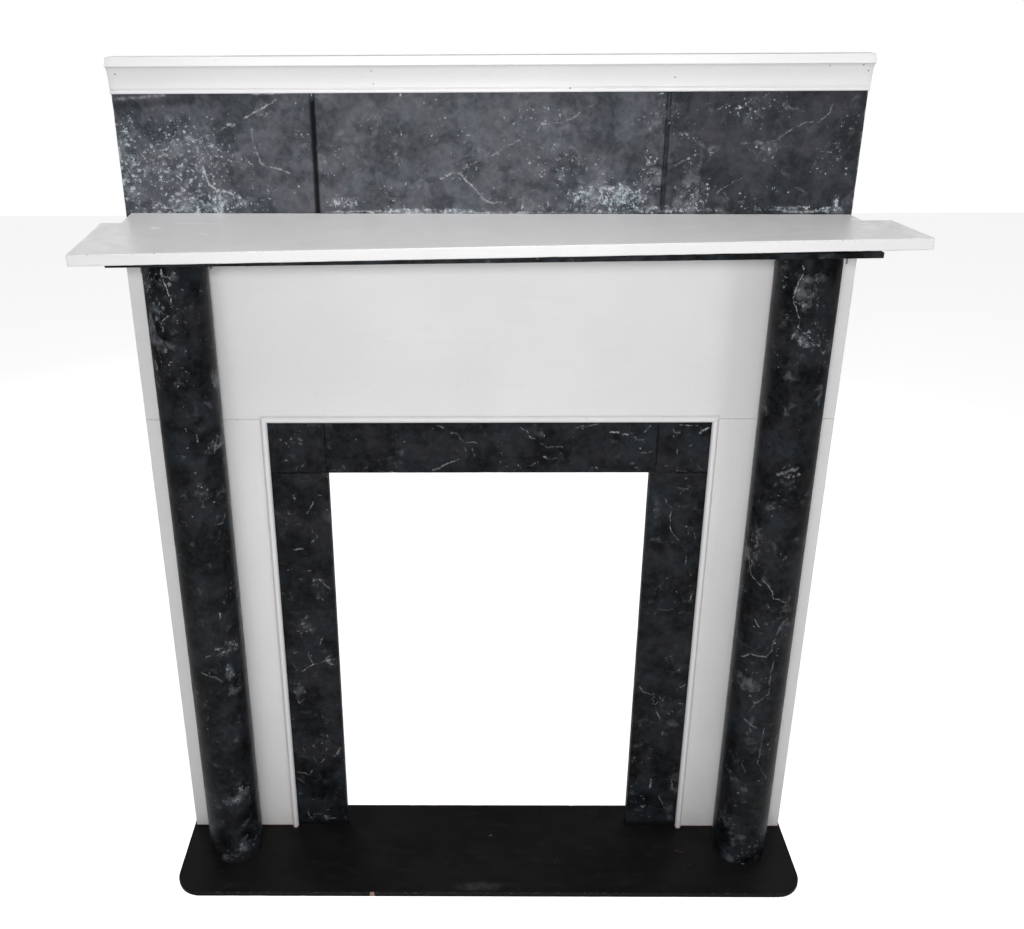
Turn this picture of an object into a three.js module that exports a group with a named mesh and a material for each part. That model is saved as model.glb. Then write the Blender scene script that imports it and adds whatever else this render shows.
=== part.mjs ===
// A painted timber mantelpiece: a hearth board, a white facing with black marbled slips round the
// fire opening, two round marbled columns, a shelf, and a marbled backboard under a cornice.
// Millimetres. X runs to the right, Y towards the wall and Z up.
// The origin is on the floor, under the middle of the facing's front face.
import * as THREE from "three";
import { mergeVertices } from "three/addons/utils/BufferGeometryUtils.js";

// Pieces that meet keep this gap, which stands for the joint between them.
const JOINT_GAP = 0.3;

// Hearth board, flat on the floor under everything else.
const HEARTH_WIDTH = 1210;
const HEARTH_FRONT = 174;
const HEARTH_BACK = 60;
const HEARTH_T = 10;
const HEARTH_CORNER_R = 50;

// Carcass: facing boards with a return at each side. All heights from here on are above the
// hearth's top face.
const CARCASS_WIDTH = 1200;
const CARCASS_DEPTH = 72;
const BOARD_T = 18;
const FRIEZE_FOOT_Z = 913;

// Slips that line the fire opening, set a little behind the facing's face.
const OPENING_WIDTH = 574;
const OPENING_HEIGHT = 808.5;
const SLIPS_WIDTH = 788;
const SLIP_SETBACK = 2;
const JAMB_JOINT_Z = 520.5;
const LINTEL_LEFT_X = -289;
const LINTEL_RIGHT_X = 296;

// Rounded bead that covers the joint between facing and slips.
const BEAD_WIDTH = 12;
const BEAD_PROUD = 7;
const BEAD_MITRE_PULL = 0.2;
const BEAD_STEPS = 12;

// Columns, fully round, standing against the facing.
const COLUMN_D = 104;
const COLUMN_SPACING = 1010;
const COLUMN_SIDES = 64;

// Mantel shelf, wide in front of the facing and narrower behind its face. The board has twisted:
// its left end droops at the front and its right end lifts. The twist is in 1/mm.
const SHELF_WIDTH = 1280;
const SHELF_OFFSET = 7;
const SHELF_FRONT = 170;
const SHELF_NARROW_WIDTH = 1200;
const SHELF_T = 18;
const SHELF_TOP_Z = 1260.5;
const SHELF_TWIST = 9.8e-5;

// Thin black board between columns and shelf, twisted a little less than the shelf is.
const UNDER_WIDTH = 1168;
const UNDER_FRONT = 150;
const UNDER_T = 9;
const UNDER_TWIST = 6.4e-5;
const UNDER_CLEAR = 3.3;

// Backboard, fixed to the back of the returns behind the shelf, with two shallow grooves.
const BACK_WIDTH = 1212;
const BACK_OFFSET = -3;
const BACK_T = 12;
const BACK_BELOW_SHELF = 70;
const BACK_TOP_Z = 1513;
const GROOVE_X = 287;
const GROOVE_WIDTH = 8;
const GROOVE_DEPTH = 3;

// Cornice moulding on the backboard's top edge.
const CORNICE_HEIGHT = 57;
const CORNICE_PROUD = 20;

const whitePaint = { color: 0xe4e2de, roughness: 0.42, metalness: 0 };
const blackMarble = { color: 0x26282b, roughness: 0.35, metalness: 0 };
const greyMarble = { color: 0x46484c, roughness: 0.45, metalness: 0 };
const hearthBlack = { color: 0x1a1a1b, roughness: 0.6, metalness: 0 };

const SHELF_BOTTOM_Z = SHELF_TOP_Z - SHELF_T;
const UNDER_BOTTOM_Z = SHELF_BOTTOM_Z - UNDER_CLEAR - UNDER_T;
const BACK_FACE_Y = CARCASS_DEPTH - BACK_T;
const BACK_FOOT_Z = SHELF_BOTTOM_Z - BACK_BELOW_SHELF;
const SIDES = [["left", -1], ["right", 1]];

const mantelpiece = new THREE.Group();
const onHearth = new THREE.Group();
onHearth.position.z = HEARTH_T;
mantelpiece.add(onHearth);

// Rise of a twisted board at (x, y). It is nothing along the facing's face.
function twistRise(twist, x, y) {
  return -twist * x * y;
}

function addPiece(parent, name, geometry, paint) {
  const mesh = new THREE.Mesh(geometry, new THREE.MeshStandardMaterial(paint));
  mesh.name = name;
  parent.add(mesh);
}

// A plain board between two opposite corners.
function addBoard(name, [x0, y0, z0], [x1, y1, z1], paint) {
  const geometry = new THREE.BoxGeometry(Math.abs(x1 - x0), y1 - y0, z1 - z0);
  geometry.translate((x0 + x1) / 2, (y0 + y1) / 2, (z0 + z1) / 2);
  addPiece(onHearth, name, geometry, paint);
}

// A section drawn with (y, z) as its two coordinates, run along X from x0 to x1.
function sectionAlongX(section, x0, x1) {
  const geometry = new THREE.ExtrudeGeometry(section, {
    depth: x1 - x0,
    bevelEnabled: false,
    curveSegments: 6,
  });
  const turn = new THREE.Matrix4().makeBasis(
    new THREE.Vector3(0, 1, 0),
    new THREE.Vector3(0, 0, 1),
    new THREE.Vector3(1, 0, 0),
  );
  return geometry.applyMatrix4(turn).translate(x0, 0, 0);
}

// Evenly spaced stations from a to b, both ends included.
function stations(a, b, steps) {
  return Array.from({ length: steps + 1 }, (_, i) => a + ((b - a) * i) / steps);
}

// A board of even thickness over a grid of cells in plan. isBoard says which cells it covers and
// rise lifts each grid point, so that a twisted board has true surfaces and straight edges.
function twistedBoard(xs, ys, bottomZ, thickness, isBoard, rise) {
  const positions = [];
  const faces = [];
  const rowLength = ys.length;
  const layer = xs.length * rowLength;
  for (const level of [0, thickness]) {
    for (const x of xs) {
      for (const y of ys) {
        positions.push(x, y, bottomZ + level + rise(x, y));
      }
    }
  }
  const covers = (i, j) =>
    i >= 0 && j >= 0 && i < xs.length - 1 && j < ys.length - 1 &&
    isBoard((xs[i] + xs[i + 1]) / 2, (ys[j] + ys[j + 1]) / 2);
  const quad = (a, b, c, d) => faces.push(a, b, c, a, c, d);
  for (let i = 0; i < xs.length - 1; i++) {
    for (let j = 0; j < ys.length - 1; j++) {
      if (!covers(i, j)) continue;
      const a = i * rowLength + j;
      const b = a + rowLength;
      const c = b + 1;
      const d = a + 1;
      quad(a, d, c, b);
      quad(a + layer, b + layer, c + layer, d + layer);
      if (!covers(i, j - 1)) quad(a, b, b + layer, a + layer);
      if (!covers(i + 1, j)) quad(b, c, c + layer, b + layer);
      if (!covers(i, j + 1)) quad(c, d, d + layer, c + layer);
      if (!covers(i - 1, j)) quad(d, a, a + layer, d + layer);
    }
  }
  const geometry = new THREE.BufferGeometry();
  geometry.setAttribute("position", new THREE.Float32BufferAttribute(positions, 3));
  geometry.setIndex(faces);
  const board = mergeVertices(geometry.toNonIndexed());
  board.computeVertexNormals();
  return board;
}

function buildHearth() {
  const half = HEARTH_WIDTH / 2;
  const r = HEARTH_CORNER_R;
  const outline = new THREE.Shape();
  outline.moveTo(-half, HEARTH_BACK);
  outline.lineTo(-half, -HEARTH_FRONT + r);
  outline.absarc(-half + r, -HEARTH_FRONT + r, r, Math.PI, 1.5 * Math.PI, false);
  outline.absarc(half - r, -HEARTH_FRONT + r, r, 1.5 * Math.PI, 2 * Math.PI, false);
  outline.lineTo(half, HEARTH_BACK);
  outline.closePath();
  const geometry = new THREE.ExtrudeGeometry(outline, {
    depth: HEARTH_T,
    bevelEnabled: false,
    curveSegments: 16,
  });
  addPiece(mantelpiece, "hearth_board", geometry, hearthBlack);
}

// The facing is a frieze over two leg boards. The frieze stops just under the twisted shelf.
function buildFacing() {
  const outer = CARCASS_WIDTH / 2;
  const inner = SLIPS_WIDTH / 2 + JOINT_GAP;
  const friezeTop = SHELF_BOTTOM_Z - SHELF_TWIST * outer * BOARD_T - JOINT_GAP;
  addBoard("frieze_board", [-outer, 0, FRIEZE_FOOT_Z], [outer, BOARD_T, friezeTop], whitePaint);
  for (const [side, sign] of SIDES) {
    addBoard(
      "leg_board_" + side,
      [sign * inner, 0, JOINT_GAP],
      [sign * outer, BOARD_T, FRIEZE_FOOT_Z - JOINT_GAP],
      whitePaint,
    );
  }
}

// Each return reaches the wall, with a rebate at its top for the backboard.
function buildReturns() {
  const outer = CARCASS_WIDTH / 2;
  const top = SHELF_BOTTOM_Z - SHELF_TWIST * outer * CARCASS_DEPTH - JOINT_GAP;
  const rebateY = BACK_FACE_Y - JOINT_GAP;
  const section = new THREE.Shape();
  section.moveTo(BOARD_T + JOINT_GAP, JOINT_GAP);
  section.lineTo(CARCASS_DEPTH, JOINT_GAP);
  section.lineTo(CARCASS_DEPTH, BACK_FOOT_Z - JOINT_GAP);
  section.lineTo(rebateY, BACK_FOOT_Z - JOINT_GAP);
  section.lineTo(rebateY, top);
  section.lineTo(BOARD_T + JOINT_GAP, top);
  section.closePath();
  for (const [side, sign] of SIDES) {
    const x0 = sign < 0 ? -outer : outer - BOARD_T;
    addPiece(onHearth, "side_return_" + side, sectionAlongX(section, x0, x0 + BOARD_T), whitePaint);
  }
}

// The slips are a lintel, a block at each end of it and a jamb in two lengths under each block.
function buildSlips() {
  const outer = SLIPS_WIDTH / 2;
  const inner = OPENING_WIDTH / 2;
  const front = SLIP_SETBACK;
  const back = SLIP_SETBACK + BOARD_T;
  const top = FRIEZE_FOOT_Z - JOINT_GAP;
  addBoard(
    "slip_lintel",
    [LINTEL_LEFT_X, front, OPENING_HEIGHT],
    [LINTEL_RIGHT_X, back, top],
    blackMarble,
  );
  const lintelEnds = { left: LINTEL_LEFT_X, right: LINTEL_RIGHT_X };
  for (const [side, sign] of SIDES) {
    addBoard(
      "slip_block_" + side,
      [lintelEnds[side] + sign * JOINT_GAP, front, OPENING_HEIGHT],
      [sign * outer, back, top],
      blackMarble,
    );
    addBoard(
      "slip_jamb_upper_" + side,
      [sign * inner, front, JAMB_JOINT_Z],
      [sign * outer, back, OPENING_HEIGHT - JOINT_GAP],
      blackMarble,
    );
    addBoard(
      "slip_jamb_lower_" + side,
      [sign * inner, front, JOINT_GAP],
      [sign * outer, back, JAMB_JOINT_Z - JOINT_GAP],
      blackMarble,
    );
  }
}

// A length of bead along +Z from 0, with its flat back on y = 0. innerSide is +1 or -1, the sign
// of x at the edge nearest the opening, which is the short edge at a mitred end.
function beadLength(length, innerSide, mitreStart) {
  const half = BEAD_WIDTH / 2;
  const section = new THREE.Shape();
  section.absellipse(0, 0, half, BEAD_PROUD, Math.PI, 2 * Math.PI, false, 0);
  section.closePath();
  const geometry = new THREE.ExtrudeGeometry(section, {
    depth: length,
    bevelEnabled: false,
    curveSegments: BEAD_STEPS,
  });
  const place = geometry.attributes.position;
  for (let i = 0; i < place.count; i++) {
    const cut = half + innerSide * place.getX(i);
    if (place.getZ(i) > length / 2) {
      place.setZ(i, place.getZ(i) - cut);
    } else if (mitreStart) {
      place.setZ(i, cut);
    }
  }
  return geometry;
}

// The bead runs up one side, across the top and down the other, centred on the joint it covers.
function buildBeads() {
  const centreX = SLIPS_WIDTH / 2;
  const outerX = centreX + BEAD_WIDTH / 2;
  const outerZ = FRIEZE_FOOT_Z + BEAD_WIDTH / 2;
  for (const [side, sign] of SIDES) {
    const upright = beadLength(outerZ - JOINT_GAP - BEAD_MITRE_PULL, -sign, false);
    upright.translate(sign * centreX, -JOINT_GAP, JOINT_GAP);
    addPiece(onHearth, "bead_" + side, upright, whitePaint);
  }
  const halfLength = outerX - BEAD_MITRE_PULL;
  const across = beadLength(2 * halfLength, -1, true);
  across.rotateY(-Math.PI / 2);
  across.translate(halfLength, -JOINT_GAP, FRIEZE_FOOT_Z);
  addPiece(onHearth, "bead_top", across, whitePaint);
}

// Columns stand on the hearth, and their tops follow the underside of the black board.
function buildColumns() {
  const top = UNDER_BOTTOM_Z - JOINT_GAP;
  for (const [side, sign] of SIDES) {
    const geometry = new THREE.CylinderGeometry(
      COLUMN_D / 2,
      COLUMN_D / 2,
      top - JOINT_GAP,
      COLUMN_SIDES,
    );
    geometry.rotateX(Math.PI / 2);
    geometry.translate(
      (sign * COLUMN_SPACING) / 2,
      -COLUMN_D / 2 - JOINT_GAP,
      (top + JOINT_GAP) / 2,
    );
    const place = geometry.attributes.position;
    for (let i = 0; i < place.count; i++) {
      if (place.getZ(i) > top / 2) {
        const rise = twistRise(UNDER_TWIST, place.getX(i), place.getY(i));
        place.setZ(i, place.getZ(i) + rise);
      }
    }
    addPiece(onHearth, "column_" + side, geometry, blackMarble);
  }
}

function buildUnderBoard() {
  const xs = stations(-UNDER_WIDTH / 2, UNDER_WIDTH / 2, 16);
  const ys = stations(-UNDER_FRONT, -JOINT_GAP, 4);
  const rise = (x, y) => twistRise(UNDER_TWIST, x, y);
  const geometry = twistedBoard(xs, ys, UNDER_BOTTOM_Z, UNDER_T, () => true, rise);
  addPiece(onHearth, "under_board", geometry, blackMarble);
}

function buildShelf() {
  const narrow = SHELF_NARROW_WIDTH / 2;
  const xs = [
    SHELF_OFFSET - SHELF_WIDTH / 2,
    ...stations(-narrow, narrow, 16),
    SHELF_OFFSET + SHELF_WIDTH / 2,
  ];
  const ys = [
    ...stations(-SHELF_FRONT, 0, 5),
    ...stations(0, BACK_FACE_Y - JOINT_GAP, 2).slice(1),
  ];
  const isBoard = (x, y) => y < 0 || Math.abs(x) < narrow;
  const rise = (x, y) => twistRise(SHELF_TWIST, x, y);
  const geometry = twistedBoard(xs, ys, SHELF_BOTTOM_Z, SHELF_T, isBoard, rise);
  addPiece(onHearth, "mantel_shelf", geometry, whitePaint);
}

// The backboard's plan, with a shallow rounded groove at each side of the middle.
function buildBackboard() {
  const left = BACK_OFFSET - BACK_WIDTH / 2;
  const right = BACK_OFFSET + BACK_WIDTH / 2;
  const plan = new THREE.Shape();
  plan.moveTo(left, CARCASS_DEPTH);
  plan.lineTo(left, BACK_FACE_Y);
  for (const x of [-GROOVE_X, GROOVE_X]) {
    plan.lineTo(x - GROOVE_WIDTH / 2, BACK_FACE_Y);
    plan.quadraticCurveTo(
      x,
      BACK_FACE_Y + 2 * GROOVE_DEPTH,
      x + GROOVE_WIDTH / 2,
      BACK_FACE_Y,
    );
  }
  plan.lineTo(right, BACK_FACE_Y);
  plan.lineTo(right, CARCASS_DEPTH);
  plan.closePath();
  const geometry = new THREE.ExtrudeGeometry(plan, {
    depth: BACK_TOP_Z - BACK_FOOT_Z,
    bevelEnabled: false,
    curveSegments: 6,
  });
  geometry.translate(0, 0, BACK_FOOT_Z);
  addPiece(onHearth, "back_board", geometry, greyMarble);
}

// From the bottom up: a rounded lip, a quirk, a slightly hollow face, a cove, and a cap that is
// proudest at its lower edge and leans back to the top.
function buildCornice() {
  const backY = BACK_FACE_Y - JOINT_GAP;
  const footZ = BACK_TOP_Z - CORNICE_HEIGHT;
  const at = (proud, height) => [backY - proud, footZ + height];
  const section = new THREE.Shape();
  section.moveTo(...at(0, 0));
  section.lineTo(...at(5.5, 0));
  section.quadraticCurveTo(...at(8, 0), ...at(8, 2.8));
  section.quadraticCurveTo(...at(8, 5.6), ...at(5, 5.8));
  section.lineTo(...at(4.5, 7.6));
  section.lineTo(...at(7, 8.4));
  section.quadraticCurveTo(...at(6.8, 22), ...at(9.5, 33));
  section.quadraticCurveTo(...at(11, 40), ...at(CORNICE_PROUD - 1, 42.6));
  section.quadraticCurveTo(...at(CORNICE_PROUD, 43.2), ...at(CORNICE_PROUD - 0.3, 44.6));
  section.lineTo(...at(11.8, CORNICE_HEIGHT - 0.8));
  section.lineTo(...at(11, CORNICE_HEIGHT));
  section.lineTo(...at(0, CORNICE_HEIGHT));
  section.closePath();
  const left = BACK_OFFSET - BACK_WIDTH / 2;
  const geometry = sectionAlongX(section, left, left + BACK_WIDTH);
  addPiece(onHearth, "cornice_moulding", geometry, whitePaint);
}

buildHearth();
buildFacing();
buildReturns();
buildSlips();
buildBeads();
buildColumns();
buildUnderBoard();
buildShelf();
buildBackboard();
buildCornice();

export default mantelpiece;
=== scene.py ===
# A painted timber mantelpiece, dressed for the camera. Metres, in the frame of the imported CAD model.
import math
import random
import bmesh
import bpy
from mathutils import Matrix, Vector, noise


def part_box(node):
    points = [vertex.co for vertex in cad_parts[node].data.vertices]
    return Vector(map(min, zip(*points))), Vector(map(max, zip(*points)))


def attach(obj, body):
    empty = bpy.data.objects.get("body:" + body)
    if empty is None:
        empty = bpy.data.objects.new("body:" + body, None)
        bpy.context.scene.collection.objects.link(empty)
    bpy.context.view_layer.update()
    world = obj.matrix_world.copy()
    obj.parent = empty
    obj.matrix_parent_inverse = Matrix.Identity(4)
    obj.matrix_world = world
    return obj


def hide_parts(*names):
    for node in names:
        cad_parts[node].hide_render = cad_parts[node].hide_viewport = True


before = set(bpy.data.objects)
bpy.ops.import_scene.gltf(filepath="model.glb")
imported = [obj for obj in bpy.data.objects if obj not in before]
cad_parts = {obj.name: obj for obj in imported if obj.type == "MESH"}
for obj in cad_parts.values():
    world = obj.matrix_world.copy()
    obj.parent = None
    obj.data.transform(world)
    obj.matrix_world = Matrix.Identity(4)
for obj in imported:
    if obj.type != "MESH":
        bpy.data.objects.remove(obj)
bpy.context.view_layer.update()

mm = 0.001
hearthTop = 10  # in mm, and every height is measured from the floor
print("mantelpiece: frame loaded")


# Small helpers for meshes

arrises = {"sharpFrom": 0.9, "segments": 3,  # radians between two faces, and cuts across a rounded edge
           "broadPatch": 30, "broadShare": 0.6, "finePatch": 7, "fineFrom": 0.35, "fineShare": 1.6,
           "soiled": (0.0004, 0.003)}  # metres inwards that the edge is soiled, fully and at all


def nodeBox(node):  # a CAD node's corners in mm
    low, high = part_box(node)
    return [v / mm for v in low], [v / mm for v in high]


def stations(start, end, step):  # evenly spaced places, both ends included
    count = max(1, round(abs(end - start) / step))
    return [start + (end - start) * i / count for i in range(count + 1)]


def patchy(place, size, seed):  # smooth noise from -1 to 1 with patches of about that size in mm
    return noise.noise(place / (size * mm) + Vector((seed * 7.3, seed * 3.1, seed * 5.7)))


def wearArrises(work, faces, depth, seed):  # rubs the rounded edges down here and there
    rounded = {v for face in faces for v in face.verts}
    for face in faces:
        face.smooth = True
    for v in rounded:
        rub = max(0.0, patchy(v.co, arrises["broadPatch"], seed)) * arrises["broadShare"]
        fine = patchy(v.co, arrises["finePatch"], seed + 1) - arrises["fineFrom"]
        rub += max(0.0, fine) * arrises["fineShare"]
        v.co -= v.normal * min(1.0, rub) * depth * mm


def roundEdges(work, size, depth, seed):
    bmesh.ops.recalc_face_normals(work, faces=work.faces)
    sharp = [e for e in work.edges if len(e.link_faces) == 2 and e.calc_face_angle(0) > arrises["sharpFrom"]]
    made = bmesh.ops.bevel(work, geom=sharp, offset=size * mm, segments=arrises["segments"], profile=0.5,
                           affect="EDGES")
    work.normal_update()
    wearArrises(work, made["faces"], depth, seed)


def boardMesh(us, vs, place, look, seed, covers=None):  # covers says which cells of the grid are board
    work = bmesh.new()
    corners = {}

    def corner(i, j, t):
        if (i, j, t) not in corners:
            corners[i, j, t] = work.verts.new(Vector(place(us[i], vs[j], t)) * mm)
        return corners[i, j, t]

    def isBoard(i, j):
        inside = 0 <= i < len(us) - 1 and 0 <= j < len(vs) - 1
        return inside and (covers is None or covers((us[i] + us[i + 1]) / 2, (vs[j] + vs[j + 1]) / 2))

    for i in range(len(us) - 1):
        for j in range(len(vs) - 1):
            if not isBoard(i, j):
                continue
            ring = [(i, j), (i + 1, j), (i + 1, j + 1), (i, j + 1)]
            for t in (0, 1):
                work.faces.new([corner(a, b, t) for a, b in ring])
            for k, beyond in enumerate([(i, j - 1), (i + 1, j), (i, j + 1), (i - 1, j)]):
                if not isBoard(*beyond):
                    (a, b), (c, d) = ring[k], ring[(k + 1) % 4]
                    work.faces.new([corner(a, b, 0), corner(c, d, 0), corner(c, d, 1), corner(a, b, 1)])
    roundEdges(work, look["arris"], look["wear"], seed)
    return work


def uprightBoard(node, look, seed):  # a flat board that faces the room
    low, high = nodeBox(node)
    return boardMesh(stations(low[0], high[0], look["step"]), stations(low[2], high[2], look["step"]),
                     lambda u, v, t: (u, low[1] + t * (high[1] - low[1]), v), look, seed)


def standPiece(name, shape, node, finish):  # shape is a bmesh or a mesh
    if isinstance(shape, bmesh.types.BMesh):
        mesh = bpy.data.meshes.new(name)
        shape.to_mesh(mesh)
        shape.free()
    else:
        mesh = shape
        mesh.name = name
    mesh.materials.clear()
    mesh.materials.append(finish)
    piece = bpy.data.objects.new(name, mesh)
    bpy.context.scene.collection.objects.link(piece)
    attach(piece, "root")
    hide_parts(node)


# Small helpers for node trees

def addNode(tree, kind, **settings):
    node = tree.nodes.new(kind)
    for key, value in settings.items():
        setattr(node, key, value)
    return node


def feed(tree, socket, value):  # a link for a socket, a plain value for anything else
    if isinstance(value, bpy.types.NodeSocket):
        tree.links.new(value, socket)
    elif value is not None:
        socket.default_value = value


def grow(tree, kind, entries, **settings):  # a node with these inputs; gives its first output
    node = addNode(tree, kind, **settings)
    for key, value in entries.items():
        feed(tree, node.inputs[key], value)
    return node.outputs[0]


def reckon(tree, operation, a, b=None, c=None, clamp=False):  # Math
    node = addNode(tree, "ShaderNodeMath", operation=operation, use_clamp=clamp)
    for socket, value in zip(node.inputs, (a, b, c)):
        feed(tree, socket, value)
    return node.outputs[0]


def times(tree, a, b):
    return reckon(tree, "MULTIPLY", a, b)


def minus(tree, a, b):
    return reckon(tree, "SUBTRACT", a, b)


def timesAdd(tree, a, b, c):
    return reckon(tree, "MULTIPLY_ADD", a, b, c)


def steer(tree, operation, a, b=None, scale=None):  # Vector Math
    node = addNode(tree, "ShaderNodeVectorMath", operation=operation)
    feed(tree, node.inputs[0], a)
    feed(tree, node.inputs[1], b)
    if scale is not None:
        feed(tree, node.inputs["Scale"], scale)
    return node.outputs["Value" if operation in ("LENGTH", "DOT_PRODUCT", "DISTANCE") else "Vector"]


def ramp(tree, value, low, high, atLow=0.0, atHigh=1.0, smooth=True):  # Map Range
    entries = {"Value": value, "From Min": low, "From Max": high, "To Min": atLow, "To Max": atHigh}
    return grow(tree, "ShaderNodeMapRange", entries, interpolation_type="SMOOTHSTEP" if smooth else "LINEAR",
                clamp=not smooth)


def joinAxes(tree, x, y, z):
    return grow(tree, "ShaderNodeCombineXYZ", {"X": x, "Y": y, "Z": z})


def splitAxes(tree, vector):
    node = addNode(tree, "ShaderNodeSeparateXYZ")
    feed(tree, node.inputs[0], vector)
    return node.outputs


def newTree(name, inputs):
    tree = bpy.data.node_groups.new(name, "GeometryNodeTree")
    for key, kind in inputs.items():
        tree.interface.new_socket(name=key, in_out="INPUT", socket_type="NodeSocket" + kind)
    tree.interface.new_socket(name="Geometry", in_out="OUTPUT", socket_type="NodeSocketGeometry")
    return tree, addNode(tree, "NodeGroupInput").outputs


def closeTree(tree, geometry, paint):  # Realize Instances, Set Material, output
    real = grow(tree, "GeometryNodeRealizeInstances", {"Geometry": geometry})
    painted = grow(tree, "GeometryNodeSetMaterial", {"Geometry": real, "Material": paint})
    feed(tree, addNode(tree, "NodeGroupOutput").inputs[0], painted)


def ringedLine(tree, start, end, rings):  # a straight curve with that many points
    line = grow(tree, "GeometryNodeCurvePrimitiveLine", {"Start": start, "End": end})
    return grow(tree, "GeometryNodeResampleCurve", {"Curve": line, "Count": rings})


def lumps(tree, here, given):  # the unevenness of a hand-finished surface, from 0 to 1
    entries = {"Vector": here, "W": given["Seed"], "Scale": reckon(tree, "DIVIDE", 1.0, given["Patch Size"])}
    return grow(tree, "ShaderNodeTexNoise", entries, noise_dimensions="4D")


def growMesh(tree, sizes):  # runs a tree with these inputs and returns the plain mesh
    carrier = bpy.data.objects.new("carrier", bpy.data.meshes.new("carrier"))
    bpy.context.scene.collection.objects.link(carrier)
    grower = carrier.modifiers.new(tree.name, "NODES")
    grower.node_group = tree
    for item in tree.interface.items_tree:
        if item.in_out == "INPUT" and item.name in sizes:
            grower[item.identifier] = sizes[item.name]
    view = bpy.context.evaluated_depsgraph_get()
    mesh = bpy.data.meshes.new_from_object(carrier.evaluated_get(view))
    carrier.modifiers.remove(grower)
    bpy.data.objects.remove(carrier)
    return mesh


# Camera, floor and lights

viewpoint = {
    "place": (-0.036934, -1.712294, 1.647724),
    "down": 22.385, "roll": -0.346, "yaw": -0.636,  # degrees
    "lens": 37.507, "sensor": 36, "shiftX": 0.0538, "shiftY": -0.0543, "near": 0.05, "far": 50,
}


def setCamera():
    down, roll, yaw = (math.radians(viewpoint[key]) for key in ("down", "roll", "yaw"))
    ahead = Vector((math.sin(yaw) * math.cos(down), math.cos(yaw) * math.cos(down), -math.sin(down)))
    right = Vector((math.cos(yaw), -math.sin(yaw), 0))
    up = right.cross(ahead)
    x = math.cos(roll) * right + math.sin(roll) * up
    y = -math.sin(roll) * right + math.cos(roll) * up
    lens = bpy.data.cameras.new("camera")
    lens.lens, lens.sensor_width, lens.sensor_fit = viewpoint["lens"], viewpoint["sensor"], "HORIZONTAL"
    lens.shift_x, lens.shift_y = viewpoint["shiftX"], viewpoint["shiftY"]
    lens.clip_start, lens.clip_end = viewpoint["near"], viewpoint["far"]
    camera = bpy.data.objects.new("camera", lens)
    for row in range(3):
        for column, axis in enumerate((x, y, -ahead)):
            camera.matrix_world[row][column] = axis[row]
        camera.matrix_world[row][3] = viewpoint["place"][row]
    bpy.context.scene.collection.objects.link(camera)
    bpy.context.scene.camera = camera


lamps = {  # place, aim, size in metres, watts
    "flash": ((-0.06, -1.75, 1.72), (0.0, 0.0, 0.9), 0.30, 16),
    "overhead": ((0.0, -0.7, 3.0), (0.0, -0.3, 0.0), 1.2, 20),
    "front": ((-0.6, -3.4, 1.5), (0.0, 0.0, 0.9), 2.0, 23),
    "windowRight": ((2.0, -2.0, 1.7), (0.2, 0.0, 0.8), 0.8, 11),
    "behindLeft": ((-1.6, 2.2, 1.8), (0.0, 0.1, 0.7), 1.6, 9),
    "behindRight": ((1.8, 2.0, 1.4), (0.0, 0.1, 0.7), 1.6, 8),
}
room = {"colour": (1.0, 1.0, 1.0, 1.0), "light": 0.12, "backdrop": 1.0}
studioFloor = {"half": 6, "drop": 0.0003, "colour": (0.86, 0.86, 0.85, 1), "roughness": 0.9, "glow": 0.8}


def lightRoom():
    for name, (place, aim, size, watts) in lamps.items():
        light = bpy.data.lights.new(name, "AREA")
        light.shape, light.size, light.energy = "DISK", size, watts
        lamp = bpy.data.objects.new(name, light)
        lamp.location = place
        lamp.rotation_euler = (Vector(aim) - Vector(place)).to_track_quat("-Z", "Y").to_euler()
        bpy.context.scene.collection.objects.link(lamp)
    world = bpy.data.worlds.new("studio")
    world.use_nodes = True
    tree = world.node_tree
    sky = tree.nodes["Background"]
    sky.inputs["Color"].default_value = room["colour"]
    seen = addNode(tree, "ShaderNodeLightPath").outputs["Is Camera Ray"]  # white, but adds little light
    feed(tree, sky.inputs["Strength"], timesAdd(tree, seen, room["backdrop"] - room["light"], room["light"]))
    bpy.context.scene.world = world
    bpy.context.scene.view_settings.view_transform = "Standard"


def layFloor():
    half, level = studioFloor["half"], -studioFloor["drop"]
    mesh = bpy.data.meshes.new("floor")
    corners = [(-half, -half, level), (half, -half, level), (half, half, level), (-half, half, level)]
    mesh.from_pydata(corners, [], [(0, 1, 2, 3)])
    paint, tree, shader, _ = newFinish("studioFloor")
    shader.inputs["Base Color"].default_value = studioFloor["colour"]
    shader.inputs["Roughness"].default_value = studioFloor["roughness"]
    shader.inputs["Emission Color"].default_value = (1, 1, 1, 1)
    seen = addNode(tree, "ShaderNodeLightPath").outputs["Is Camera Ray"]  # pale, but lights nothing
    feed(tree, shader.inputs["Emission Strength"], times(tree, seen, studioFloor["glow"]))
    mesh.materials.append(paint)
    floor = bpy.data.objects.new("floor", mesh)
    bpy.context.scene.collection.objects.link(floor)


# Painting with nodes

def addGroup(name, inputs):  # a shader group with these inputs and one number out
    tree = bpy.data.node_groups.new(name, "ShaderNodeTree")
    for key, kind in inputs.items():
        tree.interface.new_socket(name=key, in_out="INPUT", socket_type="NodeSocket" + kind)
    tree.interface.new_socket(name="Paint", in_out="OUTPUT", socket_type="NodeSocketFloat")
    return tree, addNode(tree, "NodeGroupInput").outputs


def closeGroup(tree, mark, under):  # the stronger of this mark and those under it
    feed(tree, addNode(tree, "NodeGroupOutput").inputs[0], reckon(tree, "MAXIMUM", mark, under))
    return tree


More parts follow.
